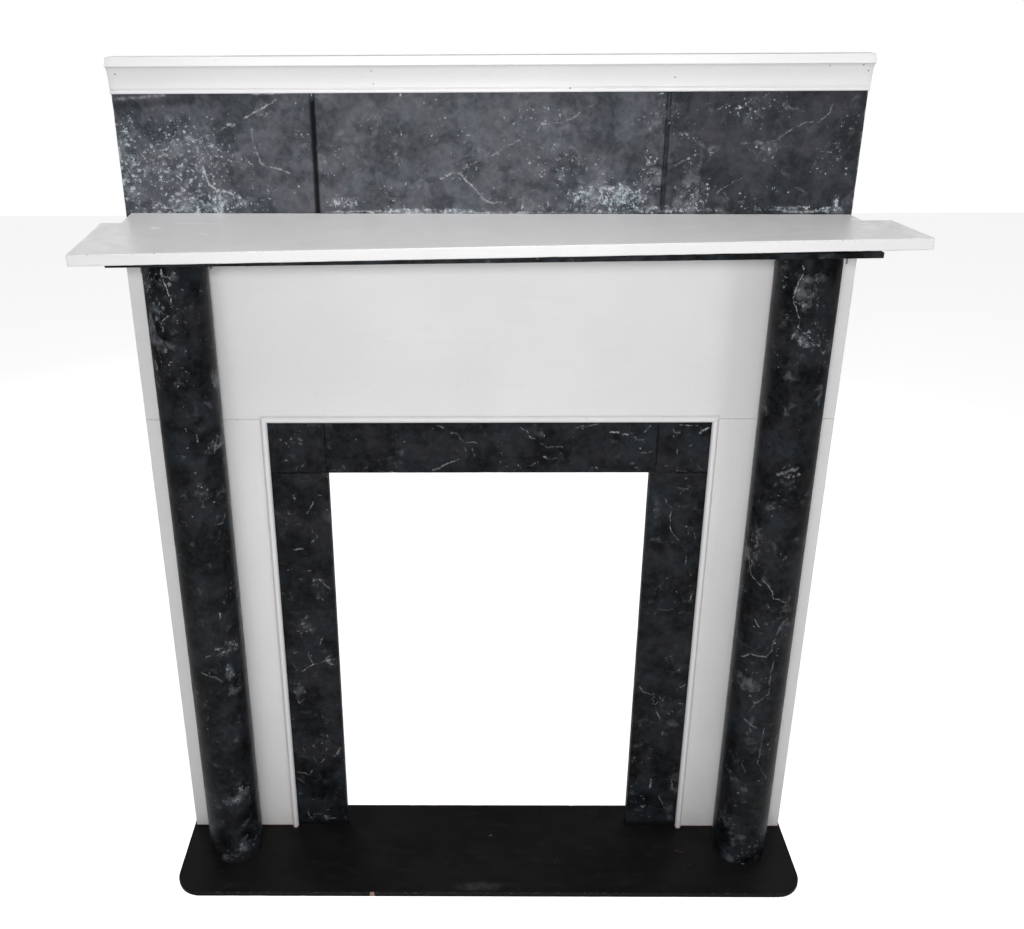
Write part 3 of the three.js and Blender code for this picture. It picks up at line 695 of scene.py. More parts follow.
veins = {  # width, strength, points along the stroke; one point is a speck
    "backboard": [
        (2.6, 0.75, [(-344, 1457), (-365, 1443), (-397, 1428)]),
        (1.6, 0.45, [(-425, 1416), (-447, 1404), (-478, 1393), (-499, 1393)]),
        (5.0, 0.7, [(-425, 1417), (-416, 1417)]),
        (2.6, 0.5, [(-388, 1409), (-388, 1391), (-377, 1357), (-363, 1349), (-346, 1346), (-332, 1339)]),
        (4.0, 0.8, [(-473, 1349), (-464, 1321), (-452, 1310), (-433, 1308), (-407, 1293)]),
        (2.0, 0.45, [(-131, 1314), (-113, 1319)]),
        (3.2, 0.6, [(-81, 1330), (-60, 1337), (-48, 1336), (-8, 1293), (8, 1288)]),
        (2.6, 0.4, [(-17, 1297), (0, 1290), (25, 1288)]), (2.0, 0.4, [(-33, 1351), (-21, 1356)]),
        (1.8, 0.4, [(-4, 1364), (15, 1370)]), (1.8, 0.55, [(-5, 1363), (57, 1396)]),
        (2.4, 0.5, [(75, 1404), (83, 1414), (126, 1420), (140, 1428), (144, 1434)]),
        (1.8, 0.35, [(158, 1442), (170, 1448), (172, 1458)]),
        (2.6, 0.5, [(254, 1363), (267, 1351), (257, 1349)]), (2.6, 0.6, [(295, 1345), (325, 1359)]),
        (2.0, 0.35, [(343, 1366), (366, 1378)]), (1.8, 0.5, [(375, 1303), (391, 1316), (416, 1329)]),
        (2.2, 0.45, [(409, 1383), (457, 1387), (475, 1396), (489, 1408), (507, 1415), (530, 1417),
                     (542, 1427), (549, 1444)]),
        (1.8, 0.4, [(445, 1383), (444, 1373), (434, 1356)]), (7.0, 0.4, [(432, 1384), (441, 1384)]),
        (3.0, 0.3, [(475, 1447), (484, 1439), (501, 1433)]), (5.0, 0.45, [(-603, 1458), (-525, 1464)]),
        (4.0, 0.8, [(-382, 1465), (-330, 1466)]), (2.6, 0.95, [(-144, 1467), (-144, 1461)]),
        (3.5, 0.75, [(-275, 1273), (-200, 1275), (-125, 1272)]), (3.0, 0.6, [(-120, 1271), (20, 1272)]),
        (4.0, 0.85, [(32, 1271), (60, 1272)]), (2.6, 0.5, [(60, 1271), (230, 1271)]),
        (3.6, 0.65, [(490, 1272), (560, 1273)]), (2.6, 0.8, [(-162, 1404)]), (3.0, 0.8, [(-145, 1399)]),
        (2.4, 0.7, [(-138, 1377)]), (2.4, 0.7, [(-262, 1337)]), (3.0, 0.8, [(-396, 1357)]),
        (3.4, 0.8, [(-316, 1316)]), (2.2, 0.7, [(-150, 1352)]), (3.2, 0.8, [(-410, 1386)]),
        (3.4, 0.8, [(-436, 1386)]), (3.0, 0.7, [(-442, 1295)]), (3.0, 0.7, [(-366, 1297)]),
        (5.0, 0.7, [(-363, 1430)]), (2.8, 0.7, [(-196, 1448)]), (3.0, 0.8, [(-159, 1293)]),
        (2.2, 0.6, [(-20, 1402)]),
    ],
    "columnLeft": [
        (2.2, 1.0, [(-8, 1221), (-7, 1205), (3, 1174), (2, 1164)]),
        (2.6, 0.6, [(-4, 1144), (-17, 1134), (-17, 1119)]), (2.4, 0.6, [(19, 939), (21, 926)]),
        (1.6, 0.5, [(1, 951), (3, 947)]), (1.8, 0.5, [(8, 873), (12, 866)]),
        (1.8, 0.55, [(58, 775), (50, 764), (41, 766)]), (2.2, 0.95, [(26, 590), (26, 578)]),
        (1.8, 0.6, [(-6, 499), (7, 507)]), (3.0, 0.35, [(-20, 464), (9, 456), (18, 445)]),
        (2.5, 0.6, [(23, 1158)]), (2.6, 0.7, [(14, 1049)]), (2.0, 0.9, [(-1, 1025)]),
        (2.0, 0.6, [(24, 1024)]), (2.0, 0.7, [(2, 951)]), (3.2, 0.5, [(4, 915)]), (2.6, 0.5, [(-18, 900)]),
        (3.2, 0.6, [(11, 870)]), (2.6, 0.7, [(28, 836)]), (2.8, 0.8, [(38, 808)]), (3.0, 0.6, [(57, 771)]),
        (2.2, 0.6, [(-2, 788)]), (2.2, 0.5, [(-32, 768)]), (2.8, 0.6, [(57, 703)]),
    ],
    "columnRight": [
        (1.5, 0.85, [(-24, 1223), (-22, 1208), (-33, 1173), (-32, 1161), (-25, 1148), (-21, 1133),
                     (-21, 1122), (5, 1102), (16, 1090)]),
        (1.8, 0.45, [(-21, 1117), (-29, 1100)]), (2.4, 0.5, [(-22, 1200), (-13, 1197)]),
        (5.0, 0.4, [(-25, 864), (6, 877)]), (1.8, 0.4, [(16, 1092), (29, 1075)]),
        (2.4, 0.55, [(-76, 715), (-63, 692), (-53, 662), (-40, 649), (-30, 646)]),
        (2.0, 0.6, [(-27, 656), (-15, 646), (-7, 625), (4, 623), (17, 615)]),
        (1.3, 0.8, [(-35, 574), (-24, 562)]),
        (1.8, 0.5, [(28, 581), (15, 570), (2, 531), (2, 513), (-6, 502)]),
        (2.6, 0.55, [(-6, 502), (-36, 501), (-52, 486)]),
        (2.2, 0.4, [(9, 495), (6, 468), (6, 421), (-11, 404), (-21, 388)]),
        (3.4, 0.35, [(-33, 357), (-8, 344)]), (1.6, 0.45, [(6, 344), (3, 263), (15, 238), (29, 217)]),
        (1.8, 0.35, [(-26, 260), (-19, 237)]),
    ],
    "slipLintel": [
        (4.5, 0.6, [(-259, 833), (-257, 830)]), (2.0, 0.5, [(-221, 828), (-216, 830)]),
        (1.1, 0.7, [(-163, 844), (-164, 827)]), (2.0, 0.55, [(-193, 820), (-172, 820)]),
        (2.2, 0.65, [(-99, 825), (-86, 828), (-78, 834), (-54, 844)]), (2.4, 0.5, [(-90, 911), (-80, 906)]),
        (1.8, 0.5, [(-67, 897), (-56, 896), (-50, 883), (-41, 877), (-22, 877)]),
        (1.8, 0.3, [(-42, 869), (-39, 860)]), (1.8, 0.3, [(-30, 867), (-26, 851)]),
        (2.0, 0.55, [(55, 908), (67, 899), (74, 886), (81, 884)]),
        (1.8, 0.4, [(91, 876), (102, 869), (129, 869)]), (4.0, 0.7, [(99, 849), (103, 848)]),
        (1.4, 0.45, [(103, 847), (124, 847)]), (1.6, 0.5, [(71, 831), (87, 839)]),
        (2.0, 0.6, [(151, 906), (193, 912)]), (2.6, 0.85, [(212, 898), (228, 897)]),
        (2.8, 0.8, [(235, 893), (243, 892)]), (2.0, 0.5, [(255, 889), (259, 887)]),
        (1.8, 0.5, [(269, 894), (281, 909)]), (3.0, 0.3, [(259, 883), (271, 883)]),
        (2.6, 0.3, [(270, 857), (288, 860)]), (4.6, 0.5, [(253, 836), (255, 836)]),
        (3.0, 0.55, [(191, 829), (195, 828)]), (1.6, 0.4, [(258, 828), (266, 828)]),
    ],
    "slipBlockRight": [
        (1.8, 0.6, [(322, 901), (329, 890)]), (1.8, 0.85, [(329, 871), (333, 855)]),
        (1.8, 0.6, [(353, 871), (362, 877)]), (3.2, 0.9, [(372, 900), (384, 905)]),
        (2.0, 0.8, [(333, 911), (365, 909)]), (1.6, 0.35, [(334, 823), (353, 822)]),
        (4.0, 0.35, [(330, 896), (333, 896)]),
    ],
    "slipBlockLeft": [
        (1.6, 0.5, [(-340, 832), (-342, 825)]), (2.4, 0.3, [(-326, 840), (-332, 832)]),
        (4.0, 0.35, [(-368, 885), (-366, 884)]), (4.0, 0.35, [(-335, 885), (-331, 883)]),
    ],
    "slipJambUpperLeft": [
        (2.2, 0.75, [(-316, 760), (-330, 737)]), (2.0, 0.55, [(-321, 710), (-321, 698)]),
        (2.2, 0.6, [(-315, 693), (-314, 687), (-325, 677)]), (2.6, 0.55, [(-359, 662), (-340, 664)]),
        (1.8, 0.4, [(-307, 775), (-300, 773)]), (1.4, 0.3, [(-356, 716), (-342, 717)]),
        (2.4, 0.6, [(-353, 601), (-347, 599)]), (2.6, 0.35, [(-328, 594), (-315, 598), (-297, 578)]),
        (2.2, 0.4, [(-321, 559), (-313, 558), (-308, 552)]), (2.2, 0.4, [(-334, 618), (-329, 617)]),
    ],
    "slipJambLowerLeft": [
        (1.8, 0.6, [(-315, 469), (-324, 451)]), (1.8, 0.5, [(-342, 441), (-345, 431), (-337, 409)]),
        (2.0, 0.95, [(-337, 408), (-358, 394)]), (1.6, 0.45, [(-335, 409), (-312, 416)]),
        (2.2, 0.5, [(-312, 418), (-308, 425), (-298, 432), (-290, 433)]),
        (1.8, 0.5, [(-375, 410), (-369, 394)]), (2.2, 0.4, [(-372, 331), (-369, 318), (-356, 329)]),
        (1.6, 0.6, [(-370, 216), (-366, 201)]), (2.2, 0.6, [(-291, 212), (-297, 199), (-311, 185)]),
        (1.8, 0.5, [(-325, 182), (-336, 172)]), (2.4, 0.45, [(-348, 183), (-345, 171)]),
        (2.2, 0.4, [(-383, 148), (-359, 140), (-352, 150)]),
        (1.8, 0.35, [(-385, 133), (-376, 127), (-370, 119)]), (1.6, 0.35, [(-346, 125), (-335, 130)]),
        (2.4, 0.4, [(-358, 75), (-345, 81)]), (1.8, 0.7, [(-368, 50), (-366, 30), (-361, 28)]),
        (3.0, 0.4, [(-358, 37), (-338, 39), (-329, 26), (-311, 28)]),
    ],
    "slipJambUpperRight": [
        (1.6, 0.6, [(317, 767), (321, 756)]), (2.4, 0.3, [(321, 756), (330, 747), (330, 736)]),
        (1.5, 0.75, [(330, 736), (328, 729), (330, 707), (334, 696), (347, 682)]),
        (3.0, 0.3, [(337, 789), (356, 784)]), (3.0, 0.3, [(354, 798), (358, 791)]),
        (1.8, 0.55, [(364, 661), (364, 631)]), (1.8, 0.45, [(372, 615), (375, 608)]),
        (2.8, 0.4, [(312, 576), (320, 582)]), (2.0, 0.55, [(381, 568), (376, 546)]),
        (1.8, 0.5, [(374, 698), (379, 686)]), (2.2, 0.3, [(319, 534), (338, 531), (346, 534)]),
    ],
    "slipJambLowerRight": [
        (2.6, 0.4, [(296, 359), (302, 346), (325, 335)]), (1.4, 0.4, [(320, 332), (330, 312)]),
        (1.8, 0.6, [(330, 310), (339, 279)]), (2.2, 0.6, [(349, 249), (346, 239)]),
        (1.6, 0.6, [(384, 362), (375, 353)]), (1.8, 0.5, [(375, 319), (384, 316)]),
        (3.6, 0.65, [(333, 131), (331, 109)]), (2.2, 0.6, [(375, 130), (377, 105)]),
        (1.7, 0.65, [(348, 91), (368, 50)]),
    ],
}

dabs = {  # where the sponge was pressed: u, z, half width, half height, strength
    "backboard": [
        (-595, 1377, 22, 67, 0.8), (-518, 1366, 55, 21, 0.5), (-477, 1300, 86, 23, 0.8),
        (-461, 1365, 19, 25, 0.7), (-504, 1428, 46, 29, 0.35), (-366, 1433, 25, 20, 0.5),
        (-386, 1351, 19, 17, 0.5), (-241, 1290, 40, 17, 0.8), (-128, 1281, 74, 8, 0.45),
        (-140, 1412, 16, 22, 0.45), (-84, 1433, 31, 16, 0.35), (8, 1305, 25, 29, 0.4),
        (199, 1296, 78, 21, 0.85), (129, 1369, 47, 19, 0.45), (260, 1374, 12, 31, 0.5),
        (327, 1288, 34, 13, 0.55), (359, 1445, 17, 12, 0.4), (498, 1338, 26, 19, 0.3),
        (566, 1275, 33, 8, 0.8), (67, 1438, 22, 10, 0.35), (364, 1364, 17, 21, 0.35),
        (463, 1445, 29, 14, 0.3), (222, 1432, 18, 12, 0.35), (-505, 1360, 120, 100, 0.66),
        (-595, 1350, 34, 110, 0.78), (-470, 1290, 110, 28, 0.85), (-250, 1340, 60, 80, 0.35),
        (-100, 1274, 150, 8, 0.9), (250, 1276, 190, 9, 0.8), (-500, 1278, 120, 18, 0.85),
        (195, 1300, 95, 30, 0.9), (120, 1350, 90, 50, 0.5), (265, 1330, 26, 60, 0.6),
        (340, 1300, 50, 40, 0.6), (500, 1276, 100, 8, 0.7), (80, 1430, 70, 25, 0.5),
        (420, 1440, 90, 30, 0.5), (574, 1288, 8, 22, 0.8), (583, 1345, 5, 20, 0.6),
    ],
    "columnLeft": [
        (-6, 1202, 33, 20, 0.75), (-19, 1149, 21, 32, 0.8), (-24, 1078, 19, 37, 0.65),
        (-31, 1020, 13, 14, 0.4), (73, 1021, 21, 25, 0.8), (57, 911, 28, 25, 0.85), (38, 998, 12, 13, 0.35),
        (-5, 891, 12, 16, 0.4), (-15, 772, 38, 11, 0.35), (2, 645, 13, 17, 0.35), (56, 632, 29, 34, 0.45),
        (36, 510, 33, 22, 0.8), (33, 461, 14, 22, 0.8), (-18, 389, 12, 20, 0.35), (19, 238, 14, 13, 0.4),
        (43, 193, 27, 25, 0.65), (16, 166, 23, 18, 0.85), (58, 82, 29, 22, 0.5), (39, 48, 41, 21, 0.7),
        (0, 24, 33, 14, 0.6), (-42, 1195, 20, 42, 0.85), (-44, 1120, 17, 42, 0.75),
        (-44, 1050, 14, 42, 0.7), (88, 1030, 22, 48, 0.7), (84, 930, 18, 40, 0.6), (30, 1190, 26, 30, 0.3),
        (20, 820, 40, 60, 0.25), (60, 700, 26, 60, 0.3), (130, 1120, 26, 60, 0.5), (-130, 830, 24, 70, 0.5),
        (125, 470, 25, 60, 0.5), (-120, 210, 26, 50, 0.5),
    ],
    "columnRight": [
        (-53, 1194, 22, 23, 0.6), (-8, 1161, 25, 17, 0.5), (5, 1115, 26, 29, 0.55), (33, 1053, 23, 24, 0.4),
        (-66, 967, 12, 18, 0.35), (-4, 875, 23, 16, 0.6), (-7, 818, 20, 23, 0.35), (-46, 730, 18, 34, 0.6),
        (-60, 688, 28, 33, 0.5), (-63, 622, 17, 14, 0.4), (14, 503, 11, 28, 0.4), (-22, 344, 17, 31, 0.5),
        (-20, 295, 17, 27, 0.25), (16, 219, 15, 19, 0.4), (-38, 105, 23, 28, 0.45), (-12, 68, 12, 16, 0.4),
        (31, 54, 27, 38, 0.5), (-12, 46, 51, 38, 0.35), (-12, 1180, 30, 50, 0.55), (-60, 1215, 18, 22, 0.7),
        (0, 1100, 26, 20, 0.75), (40, 1085, 22, 30, 0.5), (-30, 1010, 20, 70, 0.3), (-4, 868, 24, 14, 0.7),
        (-60, 700, 24, 60, 0.55), (10, 560, 30, 60, 0.4), (130, 1120, 26, 60, 0.5),
        (-130, 830, 24, 70, 0.5), (125, 470, 25, 60, 0.5), (-120, 210, 26, 50, 0.5),
    ],
    "slipLintel": [
        (-272, 872, 15, 35, 0.2), (92, 891, 9, 14, 0.4), (146, 888, 16, 11, 0.4), (216, 874, 16, 25, 0.25),
        (74, 836, 16, 12, 0.3), (267, 867, 21, 17, 0.25), (-29, 860, 16, 12, 0.25),
    ],
    "slipBlockLeft": [
        (-344, 882, 27, 19, 0.45),
    ],
    "slipBlockRight": [
        (328, 884, 9, 23, 0.4), (368, 898, 16, 9, 0.35),
    ],
    "slipJambUpperLeft": [
        (-344, 770, 12, 13, 0.4), (-350, 678, 15, 12, 0.25), (-314, 586, 24, 36, 0.55),
        (-360, 578, 10, 9, 0.4),
    ],
    "slipJambLowerLeft": [
        (-351, 497, 35, 29, 0.5), (-301, 415, 13, 20, 0.6), (-367, 347, 21, 33, 0.55),
        (-387, 278, 8, 36, 0.4), (-322, 222, 17, 31, 0.55), (-369, 121, 19, 29, 0.35),
        (-337, 34, 26, 13, 0.45),
    ],
    "slipJambUpperRight": [
        (304, 747, 10, 27, 0.5), (354, 788, 16, 14, 0.45), (365, 701, 15, 16, 0.5), (331, 675, 14, 14, 0.4),
        (375, 640, 12, 23, 0.35), (381, 565, 9, 21, 0.5), (322, 559, 29, 25, 0.3),
    ],
    "slipJambLowerRight": [
        (305, 271, 16, 21, 0.45), (347, 297, 10, 9, 0.35), (321, 61, 22, 28, 0.5), (374, 69, 11, 28, 0.4),
        (376, 135, 8, 35, 0.3),
    ],
}


# Hearth board

hearth = {"cornerRadius": 50, "cornerSteps": 24, "arris": 1.6, "wear": 0.7, "step": 8,
          "chips": [(-223, 5, 1.8)], "chipReach": 2.5, "chipAbove": 5}  # a chip: x, half length, depth


def makeHearth():
    low, high = nodeBox("hearth_board")
    r = hearth["cornerRadius"]
    outline = [(high[0], y) for y in stations(high[1], low[1] + r, hearth["step"])]
    turn = [math.radians(a) for a in stations(0, -90, 90 / hearth["cornerSteps"])]
    outline += [(high[0] - r + r * math.cos(a), low[1] + r + r * math.sin(a)) for a in turn[1:]]
    outline += [(x, low[1]) for x in stations(high[0] - r, low[0] + r, hearth["step"])[1:]]
    outline += [(low[0] + r - r * math.sin(-a), low[1] + r - r * math.cos(a)) for a in turn[1:]]
    outline += [(low[0], y) for y in stations(low[1] + r, high[1], hearth["step"])[1:]]
    outline += [(x, high[1]) for x in stations(low[0], high[0], hearth["step"])[1:-1]]
    work = bmesh.new()
    rings = [[work.verts.new((x * mm, y * mm, z * mm)) for x, y in outline] for z in (low[2], high[2])]
    for ring in rings:
        work.faces.new(ring)
    for k in range(len(outline)):
        n = (k + 1) % len(outline)
        work.faces.new([rings[0][k], rings[0][n], rings[1][n], rings[1][k]])
    roundEdges(work, hearth["arris"], hearth["wear"], 1)
    for v in work.verts:
        x, y, z = v.co / mm
        for middle, half, depth in hearth["chips"]:
            near = abs(x - middle) / half
            if near < 1 and y < low[1] + hearth["chipReach"] and z > hearth["chipAbove"]:
                v.co.y += depth * mm * (1 - near * near)
    standPiece("hearthBoard", work, "hearth_board", hearthFinish())


# White facing boards and returns

facing = {
    "arris": 0.9, "wear": 0.5, "step": 15,
    "ticks": [(2.8, 0.9, [(-576, 1187), (-576, 1199)]), (2.6, 0.9, [(-460, 1194), (-460, 1201)]),
              (2.6, 0.9, [(467, 1197), (467, 1202)]), (2.8, 0.9, [(584, 1199), (584, 1208)])],
}


def makeFacing():
    for seed, (name, node, brushed, ticks) in enumerate((
            ("friezeBoard", "frieze_board", "x", facing["ticks"]),
            ("legBoardLeft", "leg_board_left", "z", ()), ("legBoardRight", "leg_board_right", "z", ())), 11):
        work = uprightBoard(node, facing, seed)
        paint = whiteFinish(finishName("white", name), *nodeBox(node), seed, brushed, feet=brushed == "z",
                            dark=ticks)
        standPiece(name, work, node, paint)


returns = {"arris": 0.9, "wear": 0.5, "step": 18, "rebateY": 59.7, "rebateZ": 1182.2}


def makeReturns():
    rebateY, rebateZ, step = returns["rebateY"], returns["rebateZ"], returns["step"]
    for seed, (name, node) in enumerate((
            ("sideReturnLeft", "side_return_left"), ("sideReturnRight", "side_return_right")), 14):
        low, high = nodeBox(node)
        ys = stations(low[1], rebateY, step) + [high[1]]
        zs = stations(low[2], rebateZ, step) + stations(rebateZ, high[2], step)[1:]
        work = boardMesh(ys, zs, lambda u, v, t: (low[0] + t * (high[0] - low[0]), u, v), returns, seed,
                         lambda u, v: u < rebateY or v < rebateZ)
        paint = whiteFinish(finishName("white", name), low, high, seed, "z", feet=True, tone=0.97)
        standPiece(name, work, node, paint)


# Marbled slips round the fire opening

slips = {
    "arris": 0.7, "wear": 0.4, "step": 12,
    "shadows": {  # dark paint in the joints and at the feet
        "slipLintel": [(3.8, 0.96, [(-289, 912), (-289, 816)]), (3.6, 0.85, [(296, 908), (296, 818)])],
        "slipBlockLeft": [(3.8, 0.96, [(-289, 912), (-289, 816)]), (3.4, 0.9, [(-391, 819), (-300, 819)])],
        "slipBlockRight": [(3.6, 0.85, [(296, 908), (296, 818)]), (3.4, 0.9, [(335, 819), (391, 819)])],
        "slipJambUpperLeft": [(3.4, 0.9, [(-391, 818), (-300, 818)]), (2.6, 0.6, [(-392, 531), (-370, 531)])],
        "slipJambUpperRight": [(3.4, 0.9, [(335, 818), (391, 818)]), (2.6, 0.6, [(370, 531), (392, 531)])],
        "slipJambLowerLeft": [
            (16, 0.95, [(-394, 13), (-340, 14), (-287, 12)]), (2.2, 0.35, [(-392, 386), (-290, 386)]),
            (2.6, 0.6, [(-392, 530), (-370, 530)])],
        "slipJambLowerRight": [
            (16, 0.95, [(287, 12), (340, 13), (394, 14)]), (2.2, 0.35, [(290, 386), (392, 386)]),
            (2.6, 0.6, [(370, 530), (392, 530)])],
    },
}
slipNodes = {"slipLintel": "slip_lintel", "slipBlockLeft": "slip_block_left",
             "slipBlockRight": "slip_block_right",
             "slipJambUpperLeft": "slip_jamb_upper_left", "slipJambUpperRight": "slip_jamb_upper_right",
             "slipJambLowerLeft": "slip_jamb_lower_left", "slipJambLowerRight": "slip_jamb_lower_right"}


def makeSlips():
    for seed, (name, node) in enumerate(slipNodes.items(), 20):
        work = uprightBoard(node, slips, seed)
        paint = marbleFinish(finishName("marble", name), slipMarbleLook, veins[name], dabs[name], seed,
                             box=nodeBox(node), shadows=slips["shadows"][name])
        standPiece(name, work, node, paint)


# Mouldings: one tree sweeps a section along a straight run and can mitre its ends

def mouldingTree():
    tree, given = newTree("moulding along a run", {
        "Section": "Object", "Start": "Vector", "End": "Vector", "Rings": "Int", "Axis Point": "Vector",
        "Inner Side": "Vector", "Half Width": "Float", "Mitre Start": "Float", "Mitre End": "Float",
        "Mitre Reach": "Float", "Unevenness": "Float", "Patch Size": "Float", "Seed": "Float",
        "Paint": "Material"})
    section = addNode(tree, "GeometryNodeObjectInfo")
    feed(tree, section.inputs["Object"], given["Section"])
    swept = grow(tree, "GeometryNodeCurveToMesh", {
        "Curve": ringedLine(tree, given["Start"], given["End"], given["Rings"]),
        "Profile Curve": section.outputs["Geometry"], "Fill Caps": True})
    here = addNode(tree, "GeometryNodeInputPosition").outputs[0]
    whole = steer(tree, "SUBTRACT", given["End"], given["Start"])
    ahead = steer(tree, "NORMALIZE", whole)
    along = steer(tree, "DOT_PRODUCT", steer(tree, "SUBTRACT", here, given["Start"]), ahead)
    left = minus(tree, steer(tree, "LENGTH", whole), along)
    inward = steer(tree, "DOT_PRODUCT", steer(tree, "SUBTRACT", here, given["Axis Point"]),
                   given["Inner Side"])
    cut = reckon(tree, "ADD", inward, given["Half Width"])
    pullStart, pullEnd = (
        times(tree, minus(tree, 1.0, reckon(tree, "DIVIDE", far, given["Mitre Reach"], clamp=True)),
              given[key])
        for far, key in ((along, "Mitre Start"), (left, "Mitre End")))
    pull = times(tree, minus(tree, pullStart, pullEnd), cut)
    mitred = grow(tree, "GeometryNodeSetPosition", {
        "Geometry": swept, "Offset": steer(tree, "SCALE", ahead, scale=pull)})
    facingOut = addNode(tree, "GeometryNodeInputNormal").outputs[0]
    sunk = times(tree, lumps(tree, here, given), times(tree, given["Unevenness"], -1.0))
    uneven = grow(tree, "GeometryNodeSetPosition", {
        "Geometry": mitred, "Offset": steer(tree, "SCALE", facingOut, scale=sunk)})
    closeTree(tree, uneven, given["Paint"])
    return tree


def sectionCurve(points):  # a closed curve through points given clockwise, in metres
    curve = bpy.data.curves.new("section", "CURVE")
    curve.dimensions = "2D"
    curve.fill_mode = "NONE"
    line = curve.splines.new("POLY")
    line.points.add(len(points) - 1)
    for k, (x, y) in enumerate(reversed(points)):
        line.points[k].co = (x, y, 0, 1)
    line.use_cyclic_u = True
    holder = bpy.data.objects.new("section", curve)
    bpy.context.scene.collection.objects.link(holder)
    return holder


def softenMoulding(mesh, sharpAngle, endRound):  # smooth shading, and rounded edges at its two ends
    work = bmesh.new()
    work.from_mesh(mesh)
    bmesh.ops.remove_doubles(work, verts=work.verts, dist=1e-6)
    bmesh.ops.recalc_face_normals(work, faces=work.faces)
    rims = list({e for f in work.faces if len(f.verts) > 4 for e in f.edges})
    if endRound:
        bmesh.ops.bevel(work, geom=rims, offset=endRound * mm, segments=2, profile=0.5, affect="EDGES")
    for face in work.faces:
        face.smooth = len(face.verts) <= 4
    work.to_mesh(mesh)
    work.free()
    mesh.set_sharp_from_angle(angle=math.radians(sharpAngle))
    return mesh


def growMoulding(run, look, points, start, end, seed, **mitre):  # a section swept from start to end
    section = sectionCurve(points)
    length = (Vector(end) - Vector(start)).length / mm
    mesh = growMesh(run, {
        "Section": section, "Start": start, "End": end, "Rings": round(length / look["ringSpacing"]) + 1,
        "Axis Point": start, "Inner Side": mitre.get("inner", (0, 0, 1)),
        "Half Width": mitre.get("half", 0.0),
        "Mitre Start": mitre.get("atStart", 0.0), "Mitre End": mitre.get("atEnd", 0.0),
        "Mitre Reach": look["mitreReach"], "Unevenness": look["unevenness"] * mm,
        "Patch Size": look["patchSize"] * mm, "Seed": float(seed), "Paint": plainFiller})
    bpy.data.objects.remove(section)
    return softenMoulding(mesh, look["sharpAngle"], look["endRound"])


beads = {"width": 12, "proud": 7, "steps": 24, "ringSpacing": 22, "unevenness": 0.25, "patchSize": 30,
         "sideX": 394, "topZ": 923, "backY": -0.3, "mitreReach": 0.018, "sharpAngle": 50, "endRound": 0}


def makeBeads(run):
    half, proud = beads["width"] / 2, beads["proud"]
    arc = [math.pi * k / beads["steps"] for k in range(beads["steps"] + 1)]
    upright = [(half * math.cos(a) * mm, -proud * math.sin(a) * mm) for a in arc]
    level = [(proud * math.sin(a) * mm, half * math.cos(a) * mm) for a in arc]
    y = beads["backY"]
    spans = {
        "beadLeft": ("bead_left", upright, (-beads["sideX"], y, None), (1, 0, 0)),
        "beadRight": ("bead_right", upright, (beads["sideX"], y, None), (-1, 0, 0)),
        "beadTop": ("bead_top", level, (None, y, beads["topZ"]), (0, 0, -1)),
    }
    for seed, (name, (node, points, line, inner)) in enumerate(spans.items(), 30):
        isTop = name == "beadTop"
        low, high = nodeBox(node)
        start = [(low[i] if line[i] is None else line[i]) * mm for i in range(3)]
        end = [(high[i] if line[i] is None else line[i]) * mm for i in range(3)]
        mesh = growMoulding(run, beads, points, start, end, seed, inner=inner, half=half * mm,
                            atStart=1.0 if isTop else 0.0, atEnd=1.0)
        paint = whiteFinish(finishName("white", name), low, high, seed, "x" if isTop else "z", feet=not isTop,
                            soiled=0.3)
        standPiece(name, mesh, node, paint)


cornice = {"height": 57, "backY": 59.7, "ringSpacing": 12, "unevenness": 0.3, "patchSize": 40,
           "endRound": 0.8, "mitreReach": 0.01, "sharpAngle": 28,
           "nailHoles": [(2.6, 0.8, [(127, 1472)]), (2.4, 0.6, [(-189, 1500)]), (2.2, 0.6, [(-186, 1480)]),
                         (2.6, 0.7, [(292, 1488)]), (2.4, 0.6, [(533, 1505)]), (2.6, 0.8, [(585, 1506)]),
                         (2.6, 0.8, [(595, 1497)]), (2.8, 0.7, [(-596, 1497)])],
           "foot": [((8, 0), (8, 2.8), 5), ((8, 5.6), (5, 5.8), 5)],  # curves: control point, end, steps
           "cove": [((6.8, 22), (11, 35), 8), ((13, 41.2), (19, 42.6), 8), ((20, 43.2), (19.7, 44.6), 4)]}


def bend(a, b, c, steps):  # points along a quadratic curve, without its first
    return [tuple((1 - t) ** 2 * a[i] + 2 * t * (1 - t) * b[i] + t * t * c[i] for i in range(2))
            for t in (k / steps for k in range(1, steps + 1))]


def corniceSection():  # (proud, height) from the foot of its back upwards, in mm
    points = [(0, 0), (5.5, 0)]
    for control, end, steps in cornice["foot"]:
        points += bend(points[-1], control, end, steps)
    points += [(4.5, 7.6), (7, 8.4)]
    for control, end, steps in cornice["cove"]:
        points += bend(points[-1], control, end, steps)
    return points + [(11.8, cornice["height"] - 0.8), (11, cornice["height"]), (0, cornice["height"])]


def makeCornice(run):
    low, high = nodeBox("cornice_moulding")
    points = [(-(cornice["backY"] - proud) * mm, -(low[2] + height) * mm)
              for proud, height in corniceSection()]
    mesh = growMoulding(run, cornice, points, (low[0] * mm, 0, 0), (high[0] * mm, 0, 0), 41)
    paint = whiteFinish("whiteCornice", low, high, 41, "x", dark=cornice["nailHoles"])
    standPiece("corniceMoulding", mesh, "cornice_moulding", paint)


# Columns: one tree turns a round post whose top follows the twisted board over it

columns = {"diameter": 104, "sides": 128, "rings": 90, "arris": 1.8, "unevenness": 0.35, "patchSize": 160,
           "twist": 0.064, "centreX": 505, "centreY": -52.3, "sharpAngle": 40,  # twist is in 1/m
           "rearVeins": 4, "rear": (86, 160), "rearMargin": 40}  # how many on each side, and where they lie


